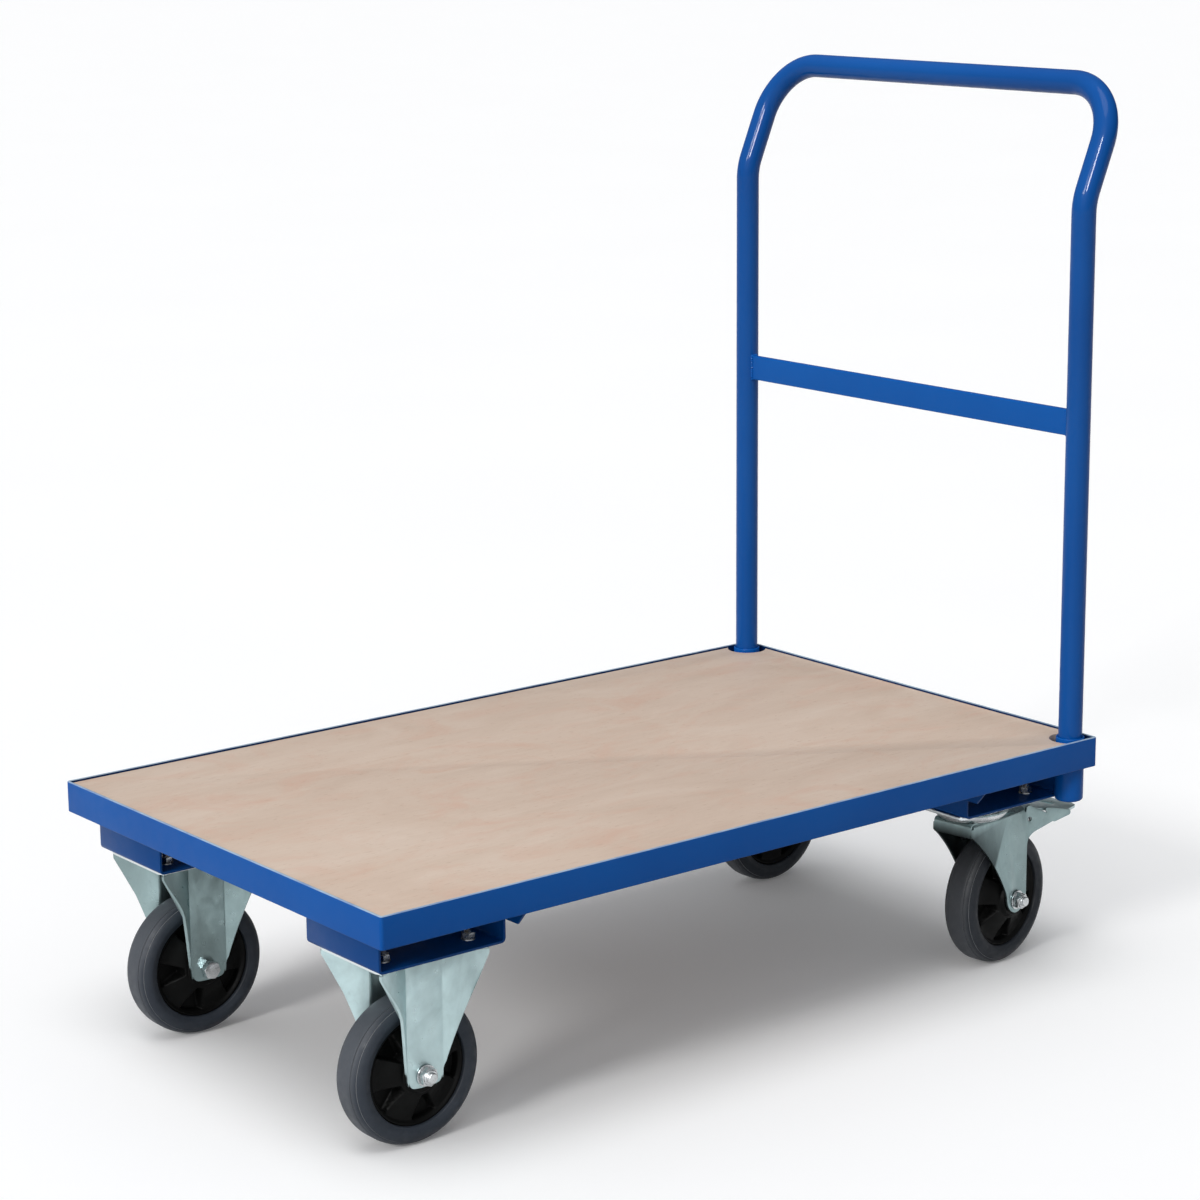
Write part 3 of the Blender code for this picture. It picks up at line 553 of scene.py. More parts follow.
def tube_along(path, radius, sides):
    """Round tube along a list of points, with flat ends."""
    bm = bmesh.new()
    points = [Vector(p) for p in path]
    rings = []
    tangent = (points[1] - points[0]).normalized()
    normal = tangent.orthogonal().normalized()
    for i, point in enumerate(points):
        before = points[max(i - 1, 0)]
        after = points[min(i + 1, len(points) - 1)]
        new_tangent = (after - before).normalized()
        normal = tangent.rotation_difference(new_tangent) @ normal
        tangent = new_tangent
        across = tangent.cross(normal)
        rings.append([bm.verts.new(point + (normal * math.cos(angle) + across * math.sin(angle))
                                   * radius) for angle in turns(sides)])
    for one, two in zip(rings, rings[1:]):
        join_rings(bm, one, two)
    for ring in (rings[0], rings[-1]):
        bm.faces.new(ring)
    return bm


def hexagon(across_flats, height, bore=0.0, steps=48, chamfer_both=False):
    """Chamfered hexagon head or nut, standing on z = 0."""
    apothem = across_flats / 2.0
    seat = apothem * 0.96
    bm = bmesh.new()

    def hex_ring(base, direction):
        ring = []
        for angle in turns(steps):
            swing = (angle + math.pi / 6) % (math.pi / 3) - math.pi / 6
            reach = apothem / math.cos(swing)
            drop = max(reach - seat, 0.0) * 0.55
            ring.append(bm.verts.new(polar(reach, angle, base - direction * drop)))
        return ring

    def round_ring(radius, z):
        return [bm.verts.new(polar(radius, angle, z)) for angle in turns(steps)]

    if chamfer_both:
        rings = [round_ring(seat, 0.0), hex_ring(0.0, -1.0)]
    else:
        rings = [hex_ring(0.0, 0.0)]
    rings += [hex_ring(height, 1.0), round_ring(seat, height)]
    if bore > 0.0:
        rings += [round_ring(bore, height), round_ring(bore, 0.0)]
        rings.append(rings[0])
    for one, two in zip(rings, rings[1:]):
        join_rings(bm, one, two)
    if bore <= 0.0:
        bm.faces.new(rings[0])
        bm.faces.new(rings[-1])
    return bm


def thread(radius, low, high, pitch, steps=32):
    """Bolt end with rolled thread rings and a chamfered tip."""
    root = radius * 0.90
    profile = [(0.0, low), (root, low)]
    count = max(int((high - low - pitch) / pitch), 1)
    for i in range(count):
        base = low + i * pitch
        profile += [(radius, base + pitch * 0.45), (root, base + pitch * 0.95)]
    profile += [(radius * 0.97, high - pitch * 0.6), (root * 0.92, high), (0.0, high)]
    return lathe(profile, steps, closed=False)


# ---- dimensions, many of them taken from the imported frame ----
SHEET = 0.003
GAP = 0.0003
CHAMFER = 0.0003              # on turned parts
RAIL_LOW, RAIL_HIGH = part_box("rail_left")
RAIL_TOP = RAIL_HIGH.z
RAIL_HEIGHT = RAIL_HIGH.z - RAIL_LOW.z
HALF_LENGTH = (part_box("rail_rear")[1].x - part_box("rail_front")[0].x) / 2.0
HALF_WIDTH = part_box("rail_right")[1].y
DECK_CENTRE = Vector((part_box("rail_rear")[1].x - HALF_LENGTH, 0.0, 0.0))
BOARD_LOW, BOARD_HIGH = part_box("deck_board")
LEDGE_WIDTH = 0.0145

SOCKET_RADIUS = 0.0165
TUBE_RADIUS = 0.014
POST = Vector((0.481, 0.284, 0.0))
KINK_HEIGHT = RAIL_TOP + 0.6165
KINK_ANGLE = math.radians(23.0)
KINK_RADIUS = 0.070
LEAN_LENGTH = 0.137
CORNER_RADIUS = 0.068

BRACKET_INNER, BRACKET_OUTER = 0.327, 0.483
CASTOR_Y = 0.207
FIXED_X = -0.407
LEG_HALF = 0.0225
FLANK_LENGTH = 0.050
FLANK_FLARE = math.radians(33.0)
FLANK_TWIST = (math.radians(-6.0), math.radians(15.0))      # added to the flare, top and foot
FLANK_FOOT = RAIL_TOP - 0.197
KINGPIN_X = 0.398
SWIVEL_TRAIL = 0.052
SWIVEL_YAW = {"left": math.radians(9.0), "right": math.radians(2.0)}

WHEEL_RADIUS = 0.080
RIM_RADIUS = 0.0585
HUB_HALF = 0.028
AXLE_BORE = 0.0063
CHEEK_OUTER = 0.032
CHEEK_MIDDLE = CHEEK_OUTER - SHEET / 2.0
PLATE_HOLES = (0.0525, 0.037)      # from the plate's middle
PLATE_LOW, PLATE_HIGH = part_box("swivel_top_plate_left")
PLATE_BOTTOM, PLATE_TOP = PLATE_LOW.z, PLATE_HIGH.z
CROWN_TOP = RAIL_TOP - 0.0953
WING_CREASE = 0.071
WING_LENGTH = 0.056
WING_FLARE = math.radians(30.0)
FRONT_CREASE = 0.030
FRONT_EDGE = -0.035
FRONT_FLARE = math.radians(-4.0)
BRAKE_PIVOT = (0.074, RAIL_TOP - 0.112)
BRAKE_BORE = 0.0028
PEDAL_PITCH = math.radians(7.0)

MIRROR_Y = Matrix.Scale(-1.0, 4, (0.0, 1.0, 0.0))
AXLE_LAY = lifted(WHEEL_RADIUS) @ LAY_FLAT


def from_deck(x, y, z=0.0):
    return Vector((x, y, z)) + DECK_CENTRE


# ---- more shape helpers ----
def rectangle(half_x, half_y):
    return [(-half_x, -half_y), (half_x, -half_y), (half_x, half_y), (-half_x, half_y)]


def rounded(outline, radius, steps=4):
    """A closed outline with every corner rounded; radius is one value or one per corner."""
    count = len(outline)
    radii = [radius] * count if isinstance(radius, float) else radius
    result = []
    for i, corner in enumerate(outline):
        here = Vector(corner)
        before = Vector(outline[i - 1]) - here
        after = Vector(outline[(i + 1) % count]) - here
        if radii[i] < 1e-6:
            result.append(tuple(here))
            continue
        half = before.angle(after) / 2.0
        reach = min(radii[i] / math.tan(half), 0.49 * before.length, 0.49 * after.length)
        result += bow(tuple(here + before.normalized() * reach), tuple(here),
                      tuple(here + after.normalized() * reach), steps)
    return result


def folded_section(path, thickness, radius, steps=5):
    """Outline of a sheet folded along a path of mid-line points, with round bends."""
    line = [Vector(path[0])]
    for before, corner, after in zip(path, path[1:], path[2:]):
        corner = Vector(corner)
        back = (Vector(before) - corner).normalized()
        ahead = (Vector(after) - corner).normalized()
        reach = radius / math.tan(back.angle(ahead) / 2.0)
        line += [Vector(p) for p in bow(tuple(corner + back * reach), tuple(corner),
                                        tuple(corner + ahead * reach), steps)]
    line.append(Vector(path[-1]))
    sides = ([], [])
    for i, point in enumerate(line):
        along = (line[min(i + 1, len(line) - 1)] - line[max(i - 1, 0)]).normalized()
        across = Vector((-along.y, along.x)) * thickness / 2.0
        sides[0].append(tuple(point + across))
        sides[1].append(tuple(point - across))
    return sides[0] + sides[1][::-1]


def ease_edges(bm, width, limit=50.0):
    """Bevel a bmesh's sharp edges."""
    edges = [e for e in bm.edges
             if len(e.link_faces) == 2 and e.calc_face_angle(0.0) > math.radians(limit)]
    bmesh.ops.bevel(bm, geom=edges, offset=width, segments=2, profile=0.5, affect="EDGES",
                    clamp_overlap=True)
    return bm


def pressed(outline, holes=(), thickness=SHEET, edge=0.0005):
    """A punched blank with eased edges."""
    return ease_edges(blank(outline, thickness, holes), edge)


def circle(centre, radius, steps=28):
    return arc(centre, radius, 0.0, 360.0 - 360.0 / steps, steps - 1)


def bead(path, radius, ripple=0.0016):
    """Weld bead along a path, with ripples."""
    sides = 10
    points = []
    for start, end in zip(path, path[1:]):
        start, end = Vector(start), Vector(end)
        count = max(int((end - start).length / (ripple / 2.0)), 1)
        points += [start.lerp(end, i / count) for i in range(count)]
    points.append(Vector(path[-1]))
    bm = tube_along(points, radius, sides)
    vertices = list(bm.verts)
    for i, point in enumerate(points):
        swell = 0.86 + 0.14 * math.sin(i * math.pi / 2.0) + 0.06 * math.sin(i * 0.73)
        if i in (0, len(points) - 1):
            swell = 0.45
        for vertex in vertices[i * sides:(i + 1) * sides]:
            vertex.co = point + (vertex.co - point) * swell
    return bm


def cut(piece, radius, centre, low, high, steps=48):
    """Drill an upright round hole through a piece."""
    drill_mesh = lathe([(0.0, low), (radius, low), (radius, high), (0.0, high)], steps, False)
    drill = new_piece("drill", move(drill_mesh, shift(centre)))
    modifier = piece.modifiers.new("drill", "BOOLEAN")
    modifier.operation = "DIFFERENCE"
    modifier.solver = "EXACT"
    modifier.object = drill
    bake_modifiers(piece)
    bpy.data.objects.remove(drill, do_unlink=True)
    smooth(piece.data, 40.0)


# ---- frame and deck ----
def make_frame_rim():
    """Welded rim: one folded section all the way round, with mitred, rounded corners."""
    ledge_top = BOARD_LOW.z - RAIL_TOP - GAP
    section = [(0.0, -RAIL_HEIGHT), (SHEET, -RAIL_HEIGHT), (SHEET, ledge_top - SHEET),
               (SHEET + LEDGE_WIDTH, ledge_top - SHEET), (SHEET + LEDGE_WIDTH, ledge_top),
               (SHEET, ledge_top), (SHEET, 0.0), (0.0, 0.0)]
    radii = [0.0011, 0.0009, 0.0, 0.0009, 0.0009, 0.0, 0.0010, 0.0013]
    bm = bmesh.new()
    rings = []
    for inset, height in rounded(section, radii, 4):
        corner = max(0.0040 - inset, 0.0006)
        x, y = HALF_LENGTH - inset, HALF_WIDTH - inset
        loop = rounded(rectangle(x, y), corner, 6)
        rings.append([bm.verts.new((*point, RAIL_TOP + height)) for point in loop])
    for one, two in zip(rings, rings[1:] + rings[:1]):
        join_rings(bm, one, two)
    move(bm, shift(DECK_CENTRE))
    rim = new_piece("frame_rim", bm)
    for side in SIDES.values():
        cut(rim, SOCKET_RADIUS + GAP, from_deck(POST.x, side * POST.y), RAIL_LOW.z - SHEET,
            RAIL_TOP - SHEET)
    settle(rim, "frame", "blue_paint", ["rail_" + n for n in ("left", "right", "front", "rear")],
           finish="rim_paint")


def make_board():
    """Plywood sheet with a round cut-out at each handle socket."""
    cutout = 0.024      # radius
    half = (BOARD_HIGH - BOARD_LOW) / 2.0
    reach = half.x - POST.x
    open_angle = math.degrees(math.asin(reach / cutout))
    cut_line = arc((POST.x, -POST.y), cutout, 180.0 + open_angle, 90.0 - open_angle, 40)
    outline = ([(-half.x, -half.y)] + cut_line + [(x, -y) for x, y in reversed(cut_line)]
               + [(-half.x, half.y)])
    bm = ease_edges(blank(outline, half.z * 2.0), 0.0007)
    move(bm, LAY_FLAT)
    move(bm, shift((DECK_CENTRE.x, 0.0, (BOARD_LOW.z + BOARD_HIGH.z) / 2.0)))
    build("plywood_deck", bm, "frame", "plywood", ["deck_board"])


def make_bracket(end_name, side_name):
    """Folded channel that carries a castor."""
    end = -1.0 if end_name == "front" else 1.0
    side = SIDES[side_name]
    node = "castor_bracket_" + end_name + "_" + side_name
    low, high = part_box(node)
    half = SHEET / 2.0
    inner, outer = BRACKET_INNER + half, BRACKET_OUTER - half
    path = [(inner, high.z), (inner, low.z + half), (outer, low.z + half), (outer, high.z)]
    section = folded_section([(end * x, z) for x, z in path], SHEET, 0.0045, 6)
    bm = ease_edges(blank(section, high.y - low.y), 0.0005)
    move(bm, shift((DECK_CENTRE.x, (low.y + high.y) / 2.0, 0.0)))
    bracket = new_piece("channel_" + end_name + "_" + side_name, bm)
    if end > 0:
        cut(bracket, SOCKET_RADIUS + GAP, from_deck(POST.x, side * POST.y), low.z - SHEET, RAIL_TOP)
    settle(bracket, "frame", "blue_paint", [node], finish="shaded_paint")


def make_crossmember(end_name):
    """Folded angle under the board with chamfered ends."""
    end = -1.0 if end_name == "front" else 1.0
    node = "cross_member_" + end_name
    low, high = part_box(node)
    half = SHEET / 2.0
    near = BRACKET_INNER - GAP - half
    far = BRACKET_INNER - GAP - (high.x - low.x)
    path = [(near, low.z), (near, high.z - half), (far, high.z - half)]
    section = folded_section([(end * x, z) for x, z in path], SHEET, 0.0032, 5)
    bm = blank(section, high.y - low.y)
    for side in SIDES.values():
        trim = bmesh.ops.bisect_plane(bm, geom=whole(bm),
                                      plane_co=(0.0, side * high.y, RAIL_LOW.z),
                                      plane_no=(0.0, side, -0.85), clear_outer=True)
        edges = [g for g in trim["geom_cut"] if isinstance(g, bmesh.types.BMEdge)]
        bmesh.ops.contextual_create(bm, geom=edges)
    ease_edges(bm, 0.0005)
    move(bm, shift(DECK_CENTRE))
    build("angle_" + end_name, bm, "frame", "blue_paint", [node], finish="shaded_paint")


def make_socket(side_name):
    """Drawn cup with a rounded rim and a rounded foot."""
    node = "handle_socket_" + side_name
    low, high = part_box(node)
    inner = TUBE_RADIUS + GAP
    floor, lip, foot = 0.003, 0.0011, 0.004
    profile = [(inner, high.z - 0.001)]
    profile += arc((inner + lip, high.z - lip), lip, 180, 0, 6)
    profile += arc((SOCKET_RADIUS - foot, low.z + foot), foot, 0, -90, 6)
    profile += [(0.0, low.z), (0.0, low.z + floor), (inner, low.z + floor)]
    bm = lathe([(min(radius, SOCKET_RADIUS), z) for radius, z in profile], 64)
    move(bm, shift(from_deck(POST.x, SIDES[side_name] * POST.y)))
    build("sleeve_" + side_name, bm, "frame", "blue_paint", [node])


def make_frame_welds():
    """Beads that hold the sleeves, channels and angles to the rim."""
    welds = bmesh.new()
    board_seam = (0.4844, BOARD_LOW.z - 0.0045)
    angle_seam = (BRACKET_INNER - 0.0006, RAIL_LOW.z - 0.0135)
    stitches = ((0.152, 0.182), (0.192, 0.222), (0.232, 0.260))
    reach = SOCKET_RADIUS + 0.0015
    for side in SIDES.values():
        for away in (Vector((reach, 0.0, 0.0)), Vector((0.0, side * reach, 0.0))):
            foot = from_deck(POST.x, side * POST.y) + away
            merged(welds, bead([foot + Vector((0, 0, RAIL_LOW.z + 0.001)),
                                foot + Vector((0, 0, RAIL_TOP - 0.0045))], 0.0030))
    for end in (-1.0, 1.0):
        for side in SIDES.values():
            for start, stop in stitches:
                for x, z in (board_seam, angle_seam):
                    merged(welds, bead([from_deck(end * x, side * start, z),
                                        from_deck(end * x, side * stop, z)], 0.0022))
    build("frame_welds", welds, "frame", "blue_paint")


def make_plate_bolts(name, x, y):
    """Four bolts through a castor plate and its channel: dome heads below, nuts on the web."""
    web_top = RAIL_TOP - 0.0742 + SHEET
    washer, nut, stub = 0.0014, 0.0066, 0.0035
    head_radius, head_edge = 0.0060, PLATE_BOTTOM - 0.0012
    head = [(0.0, PLATE_BOTTOM), (0.0058, PLATE_BOTTOM), (head_radius, head_edge)]
    head += [(r, head_edge - h) for r, h in arc((0.0, 0.0), head_radius, 10, 90, 6, squash=0.55)]
    head[-1] = (0.0, head[-1][1])
    ring = [(0.0045, web_top), (0.0078, web_top), (0.0080, web_top + CHAMFER),
            (0.0078, web_top + washer), (0.0045, web_top + washer)]
    bolts = bmesh.new()
    for across in (-PLATE_HOLES[0], PLATE_HOLES[0]):
        for along in (-PLATE_HOLES[1], PLATE_HOLES[1]):
            one = lathe(head, 32, False)
            merged(one, lathe(ring, 36))
            turn = Matrix.Rotation(along * 70.0 + across * 40.0, 4, "Z")
            hexed = hexagon(0.0130, nut, 0.0038, chamfer_both=True)
            merged(one, move(hexed, lifted(web_top + washer) @ turn))
            merged(one, thread(0.0040, web_top, web_top + washer + nut + stub, 0.00125, 24))
            merged(bolts, move(one, shift(from_deck(x + across, y + along))))
    build(name, bolts, "frame", "bearing_steel")


# ---- handle ----
def handle_line():
    """Centre line: up one post, over the top bar and down the other post."""
    tangent = KINK_RADIUS * math.tan(KINK_ANGLE / 2.0)

    def lean(distance, y):
        if distance >= tangent:
            return (POST.x + distance * math.sin(KINK_ANGLE), y,
                    KINK_HEIGHT + distance * math.cos(KINK_ANGLE))
        turn = (distance + tangent) / (2 * tangent) * KINK_ANGLE
        return (POST.x + KINK_RADIUS * (1 - math.cos(turn)), y,
                KINK_HEIGHT - tangent + KINK_RADIUS * math.sin(turn))

    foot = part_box("handle_tube")[0].z
    half = [(POST.x, -POST.y, foot), (POST.x, -POST.y, (foot + KINK_HEIGHT) / 2.0)]
    steps = 14
    half += [lean(-tangent + 2 * tangent * i / steps, -POST.y) for i in range(steps + 1)]
    corner = arc((-POST.y + CORNER_RADIUS, LEAN_LENGTH - CORNER_RADIUS), CORNER_RADIUS, 180, 90, 24)
    half += [lean(distance, y) for y, distance in corner]
    return half + [(x, -y, z) for x, y, z in reversed(half)]


def make_handle():
    """Bent tube, flat crossbar and the welds between them."""
    bm = tube_along([from_deck(*p) for p in handle_line()], TUBE_RADIUS * 0.990, 64)
    build("push_handle", bm, "handle", "blue_paint", ["handle_tube"], finish="handle_paint")
    low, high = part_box("handle_crossbar")
    section = rectangle((high.x - low.x) / 2.0, (high.z - low.z) / 2.0)
    edge = 0.0016
    bm = blank(rounded(section, edge, 5), high.y - low.y + 0.001)
    move(bm, shift((low + high) / 2.0))
    build("flat_crossbar", bm, "handle", "blue_paint", ["handle_crossbar"])
    middle = (low.z + high.z) / 2.0
    welds = bmesh.new()
    for side in SIDES.values():
        loop = []
        for x, z in rounded(section, edge, 3):
            y = POST.y - math.sqrt(TUBE_RADIUS ** 2 - x ** 2)
            loop.append(from_deck(POST.x + x, side * y, middle + z))
        merged(welds, bead(loop + loop[:1], 0.0021, 0.0014))
    build("handle_welds", welds, "handle", "blue_paint")


# ---- wheels ----
SHOULDER_RADIUS = 0.015       # where the tyre's side turns into the tread
SHOULDER = (WHEEL_RADIUS - SHOULDER_RADIUS, 0.0060)


def tyre_profile():
    """Half-section from the bead to the middle of the tread, then mirrored."""
    bead_line = ((0.0004, 0.0150), (0.0004, 0.0180), (0.0010, 0.0187), (0.0022, 0.0191),
                 (0.0036, 0.0196), (0.0050, 0.0203))
    grooves = {22.0: 0.00065, 47.0: 0.00050}      # depth by the angle round the shoulder
    step = 4

    def on_shoulder(depth, *angles):
        return [arc(SHOULDER, SHOULDER_RADIUS - depth, angle, angle, 1)[0] for angle in angles]

    rounds = []
    for angle in range(86, -1, -step):
        rounds += on_shoulder(0.0, angle)
        for middle, depth in grooves.items():
            if angle - step < middle <= angle:
                rounds += on_shoulder(0.0, middle + 1.6)
                rounds += on_shoulder(depth, middle + 0.8, middle - 0.8)
                rounds += on_shoulder(0.0, middle - 1.6)
    rounds.sort(key=lambda p: -math.atan2(p[1] - SHOULDER[1], p[0] - SHOULDER[0]))
    half = [(RIM_RADIUS + out, height) for out, height in bead_line] + rounds
    half.append((WHEEL_RADIUS, 0.0030))
    return half + [(WHEEL_RADIUS, 0.0)] + [(radius, -height) for radius, height in reversed(half)]


def tyre_dust(point):
    """Painted highlight: pale in the shoulder grooves, a little on the tread."""
    radius = math.hypot(point.x, point.y)
    out, up = radius - SHOULDER[0], abs(point.z) - SHOULDER[1]
    if out > 0.0 and up > 0.0 and math.hypot(out, up) < SHOULDER_RADIUS - 0.0002:
        return 0.85
    return 0.12 * smoothstep(radius, WHEEL_RADIUS - 0.004, WHEEL_RADIUS - 0.001)


SPOKES = 5
POCKET_REACH = (0.0255, 0.0525)      # pockets start and end at these radii
POCKET_HALF_WIDTH = (0.0034, 0.0140)
RIM_PHASE = {("fixed", "left"): 7.0, ("fixed", "right"): 34.0, ("swivel", "left"): 22.0,
             ("swivel", "right"): 58.0}
SPOKED_BANDS = ((0.0131, 0.0185, 4), (0.0185, 0.0225, 8), (0.0225, 0.0275, 10),
                (0.0275, 0.0505, 9), (0.0505, 0.0560, 12), (0.0560, 0.0583, 3))


def rim_height(radius, angle):
    """Half-thickness of the moulded rim: hub, five broad spokes, five pockets and a flange."""
    hub = 0.0200
    spoke = 0.0235 - 0.0100 * smoothstep(radius, hub, 0.0515)
    spoke += (0.0162 - spoke) * smoothstep(radius, 0.0525, 0.0570)
    height = HUB_HALF - 0.0004 + (spoke - HUB_HALF) * smoothstep(radius, hub - 0.0012, hub + 0.0022)
    sector = 2.0 * math.pi / SPOKES
    across = abs((angle + sector / 2.0) % sector - sector / 2.0) * radius
    start, end = POCKET_REACH
    narrow, wide = POCKET_HALF_WIDTH
    half = narrow + (wide - narrow) * (radius - start) / (end - start)
    inside = 1.0 - smoothstep(across, half - 0.0009, half + 0.0009)
    inside *= smoothstep(radius, start - 0.001, start + 0.001)
    inside *= 1.0 - smoothstep(radius, end - 0.001, end + 0.001)
    return height + (0.0054 - height) * inside


def make_rim_mesh(phase):
    """Rim as a height field over rings and angles, with a bore and an outer bed."""
    columns = 240
    radii = []
    for low, high, steps in SPOKED_BANDS:
        radii += [low + (high - low) * i / steps for i in range(steps)]
    radii.append(SPOKED_BANDS[-1][1])
    bm = bmesh.new()
    rings = []
    for face in (1.0, -1.0):
        side = []
        for radius in radii:
            chamfer = 0.0006 if radius in (radii[0], radii[-1]) else 0.0
            ring = []
            for angle in turns(columns):
                height = rim_height(radius, angle - phase) - chamfer
                ring.append(bm.verts.new(polar(radius, angle, face * height)))
            side.append(ring)
        rings += side if face > 0 else side[::-1]
    for one, two in zip(rings, rings[1:] + rings[:1]):
        join_rings(bm, one, two)
    return bm


def make_wheel(prefix, side_name, place, phase):
    """Tyre, spoked rim and the roller bearing in its hub."""
    body = prefix + "_wheel_" + side_name
    lay = place @ AXLE_LAY
    # The tyre's marks are a painted highlight in the shoulder grooves and on the tread
    tyre = new_piece(prefix + "_tread_" + side_name, lathe(tyre_profile(), 128), 60.0)
    settle(tyre, body, "tyre_rubber", [prefix + "_tyre_" + side_name], lay,
           "dark_rubber" if prefix == "swivel" else None, dust=tyre_dust)
    rim = new_piece(prefix + "_spoked_rim_" + side_name, make_rim_mesh(math.radians(phase)), 70.0)
    settle(rim, body, "rim_plastic", [prefix + "_rim_" + side_name], lay)
    half, tip, rollers = HUB_HALF - 0.002, 0.0004, 14
    bm = lathe(both_ways([(0.0092, half), (0.0126, half), (0.0128, half - CHAMFER)]), 64)
    for angle in turns(rollers):
        roller = lathe(both_ways([(0.0, -half - tip), (0.0011, -half - tip), (0.0013, -half)]),
                       16, False)
        merged(bm, move(roller, shift(polar(0.0110, angle))))
    build(prefix + "_roller_cage_" + side_name, bm, body, "bearing_steel",
          [prefix + "_roller_bearing_" + side_name], lay)


def make_axle(prefix, side_name, body, place):
    """Hexagon bolt with its head inboard, lock nut outboard, washers and the leg spacer."""
    seat = CHEEK_OUTER + GAP
    across_flats, pitch, washer, nut_bore = 0.0182, 0.00175, 0.0014, 0.0056
    flip = Matrix.Rotation(math.pi, 4, "X")
    lay = place @ AXLE_LAY @ (flip if SIDES[side_name] < 0 else Matrix.Identity(4))
    bolt = hexagon(across_flats, 0.0075)
    move(bolt, flip @ lifted(seat) @ Matrix.Rotation(0.3, 4, "Z"))
    merged(bolt, thread(0.0060, -seat, seat + 0.0134, pitch, 36))
    build(prefix + "_hex_bolt_" + side_name, bolt, body, "zinc",
          [prefix + "_axle_bolt_" + side_name], lay, "bearing_steel")
    nut = lathe([(0.0064, 0.0), (0.0112, 0.0), (0.0115, CHAMFER), (0.0115, washer - CHAMFER),
                 (0.0112, washer), (0.0064, washer)], 48)
    hexed = hexagon(across_flats, 0.0066, nut_bore, chamfer_both=True)
    merged(nut, move(hexed, lifted(washer) @ Matrix.Rotation(0.15, 4, "Z")))
    merged(nut, lathe([(nut_bore, 0.0078), (0.0084, 0.0078), (0.0082, 0.0092), (0.0074, 0.0100),
                       (nut_bore, 0.0100)], 48))
    build(prefix + "_lock_nut_" + side_name, move(nut, lifted(seat)), body, "zinc",
          [prefix + "_axle_nut_" + side_name], lay, "bearing_steel")
    half = CHEEK_OUTER - SHEET - GAP
    ring = both_ways([(AXLE_BORE, half), (0.0085, half), (0.0088, half - CHAMFER)])
    build(prefix + "_spacer_" + side_name, lathe(ring, 48), body, "zinc",
          [prefix + "_axle_tube_" + side_name], lay)


# ---- castors ----
def castor_plate():
    """Top plate with round corners, lying at its height."""
    outline = rectangle((PLATE_HIGH.x - PLATE_LOW.x) / 2.0, (PLATE_HIGH.y - PLATE_LOW.y) / 2.0)
    bm = ease_edges(blank(rounded(outline, 0.010, 8), PLATE_TOP - PLATE_BOTTOM), 0.0013)
    return move(bm, lifted((PLATE_TOP + PLATE_BOTTOM) / 2.0) @ LAY_FLAT)


def wheel_grime(point):
    """Painted shade on the faces of a fork or housing round the wheel, and a painted shadow along the
    weld under the plate.
    """
    if abs(point.y) < CHEEK_MIDDLE and point.z < CROWN_TOP - 0.010:
        return 0.85
    return 0.60 if PLATE_BOTTOM - 0.0022 < point.z < PLATE_BOTTOM - 0.0004 else 0.0


def plate_polish(point):
    """Painted highlight that makes the castor plates' rims bright."""
    return 0.75 if point.z > PLATE_BOTTOM + 0.0001 else 0.0


def twist_flanks(leg, side):
    """Open the folded flanks further towards the foot and close them towards the plate."""
    top, foot = FLANK_TWIST
    for vertex in leg.verts:
        reach = abs(vertex.co.x) - LEG_HALF
        if reach <= 0.0:
            continue
        share = smoothstep(PLATE_BOTTOM - vertex.co.z, 0.002, 0.058)
        angle = (top + (foot - top) * share) * smoothstep(reach, 0.0, 0.004)
        direction = math.copysign(1.0, vertex.co.x)
        across = side * vertex.co.y
        vertex.co.x = direction * (LEG_HALF + reach * math.cos(angle) - across * math.sin(angle))
        vertex.co.y = side * (reach * math.sin(angle) + across * math.cos(angle))


def leg_outline():
    """Side view of a fixed castor's leg: wide under the plate, narrow round the axle."""
    tip = LEG_HALF + FLANK_LENGTH
    high = PLATE_BOTTOM + 0.0002
    shoulder = (tip - 0.0005, PLATE_BOTTOM - 0.006)
    narrow = (LEG_HALF + 0.0035, FLANK_FOOT)
    outer = [(tip - 0.006, high)] + bow((tip - 0.001, high), (tip, PLATE_BOTTOM - 0.001), shoulder, 5)
    outer += bow(shoulder, (LEG_HALF + 0.021, 0.1440), narrow, 12)[1:]
    outer += bow(narrow, (LEG_HALF + 0.0010, FLANK_FOOT - 0.0040),
                 (LEG_HALF, WHEEL_RADIUS + 0.002), 4)[1:]
    flat, easing = WHEEL_RADIUS - 0.0125, 0.0040
    foot = []
    for x, z in arc((0.0, WHEEL_RADIUS), LEG_HALF, 0, -180, 36):
        if z < flat + easing:
            z = max(flat + easing * math.exp((z - flat) / easing), flat)
        foot.append((x, z))
    return outer + foot[1:-1] + [(-x, z) for x, z in reversed(outer)]


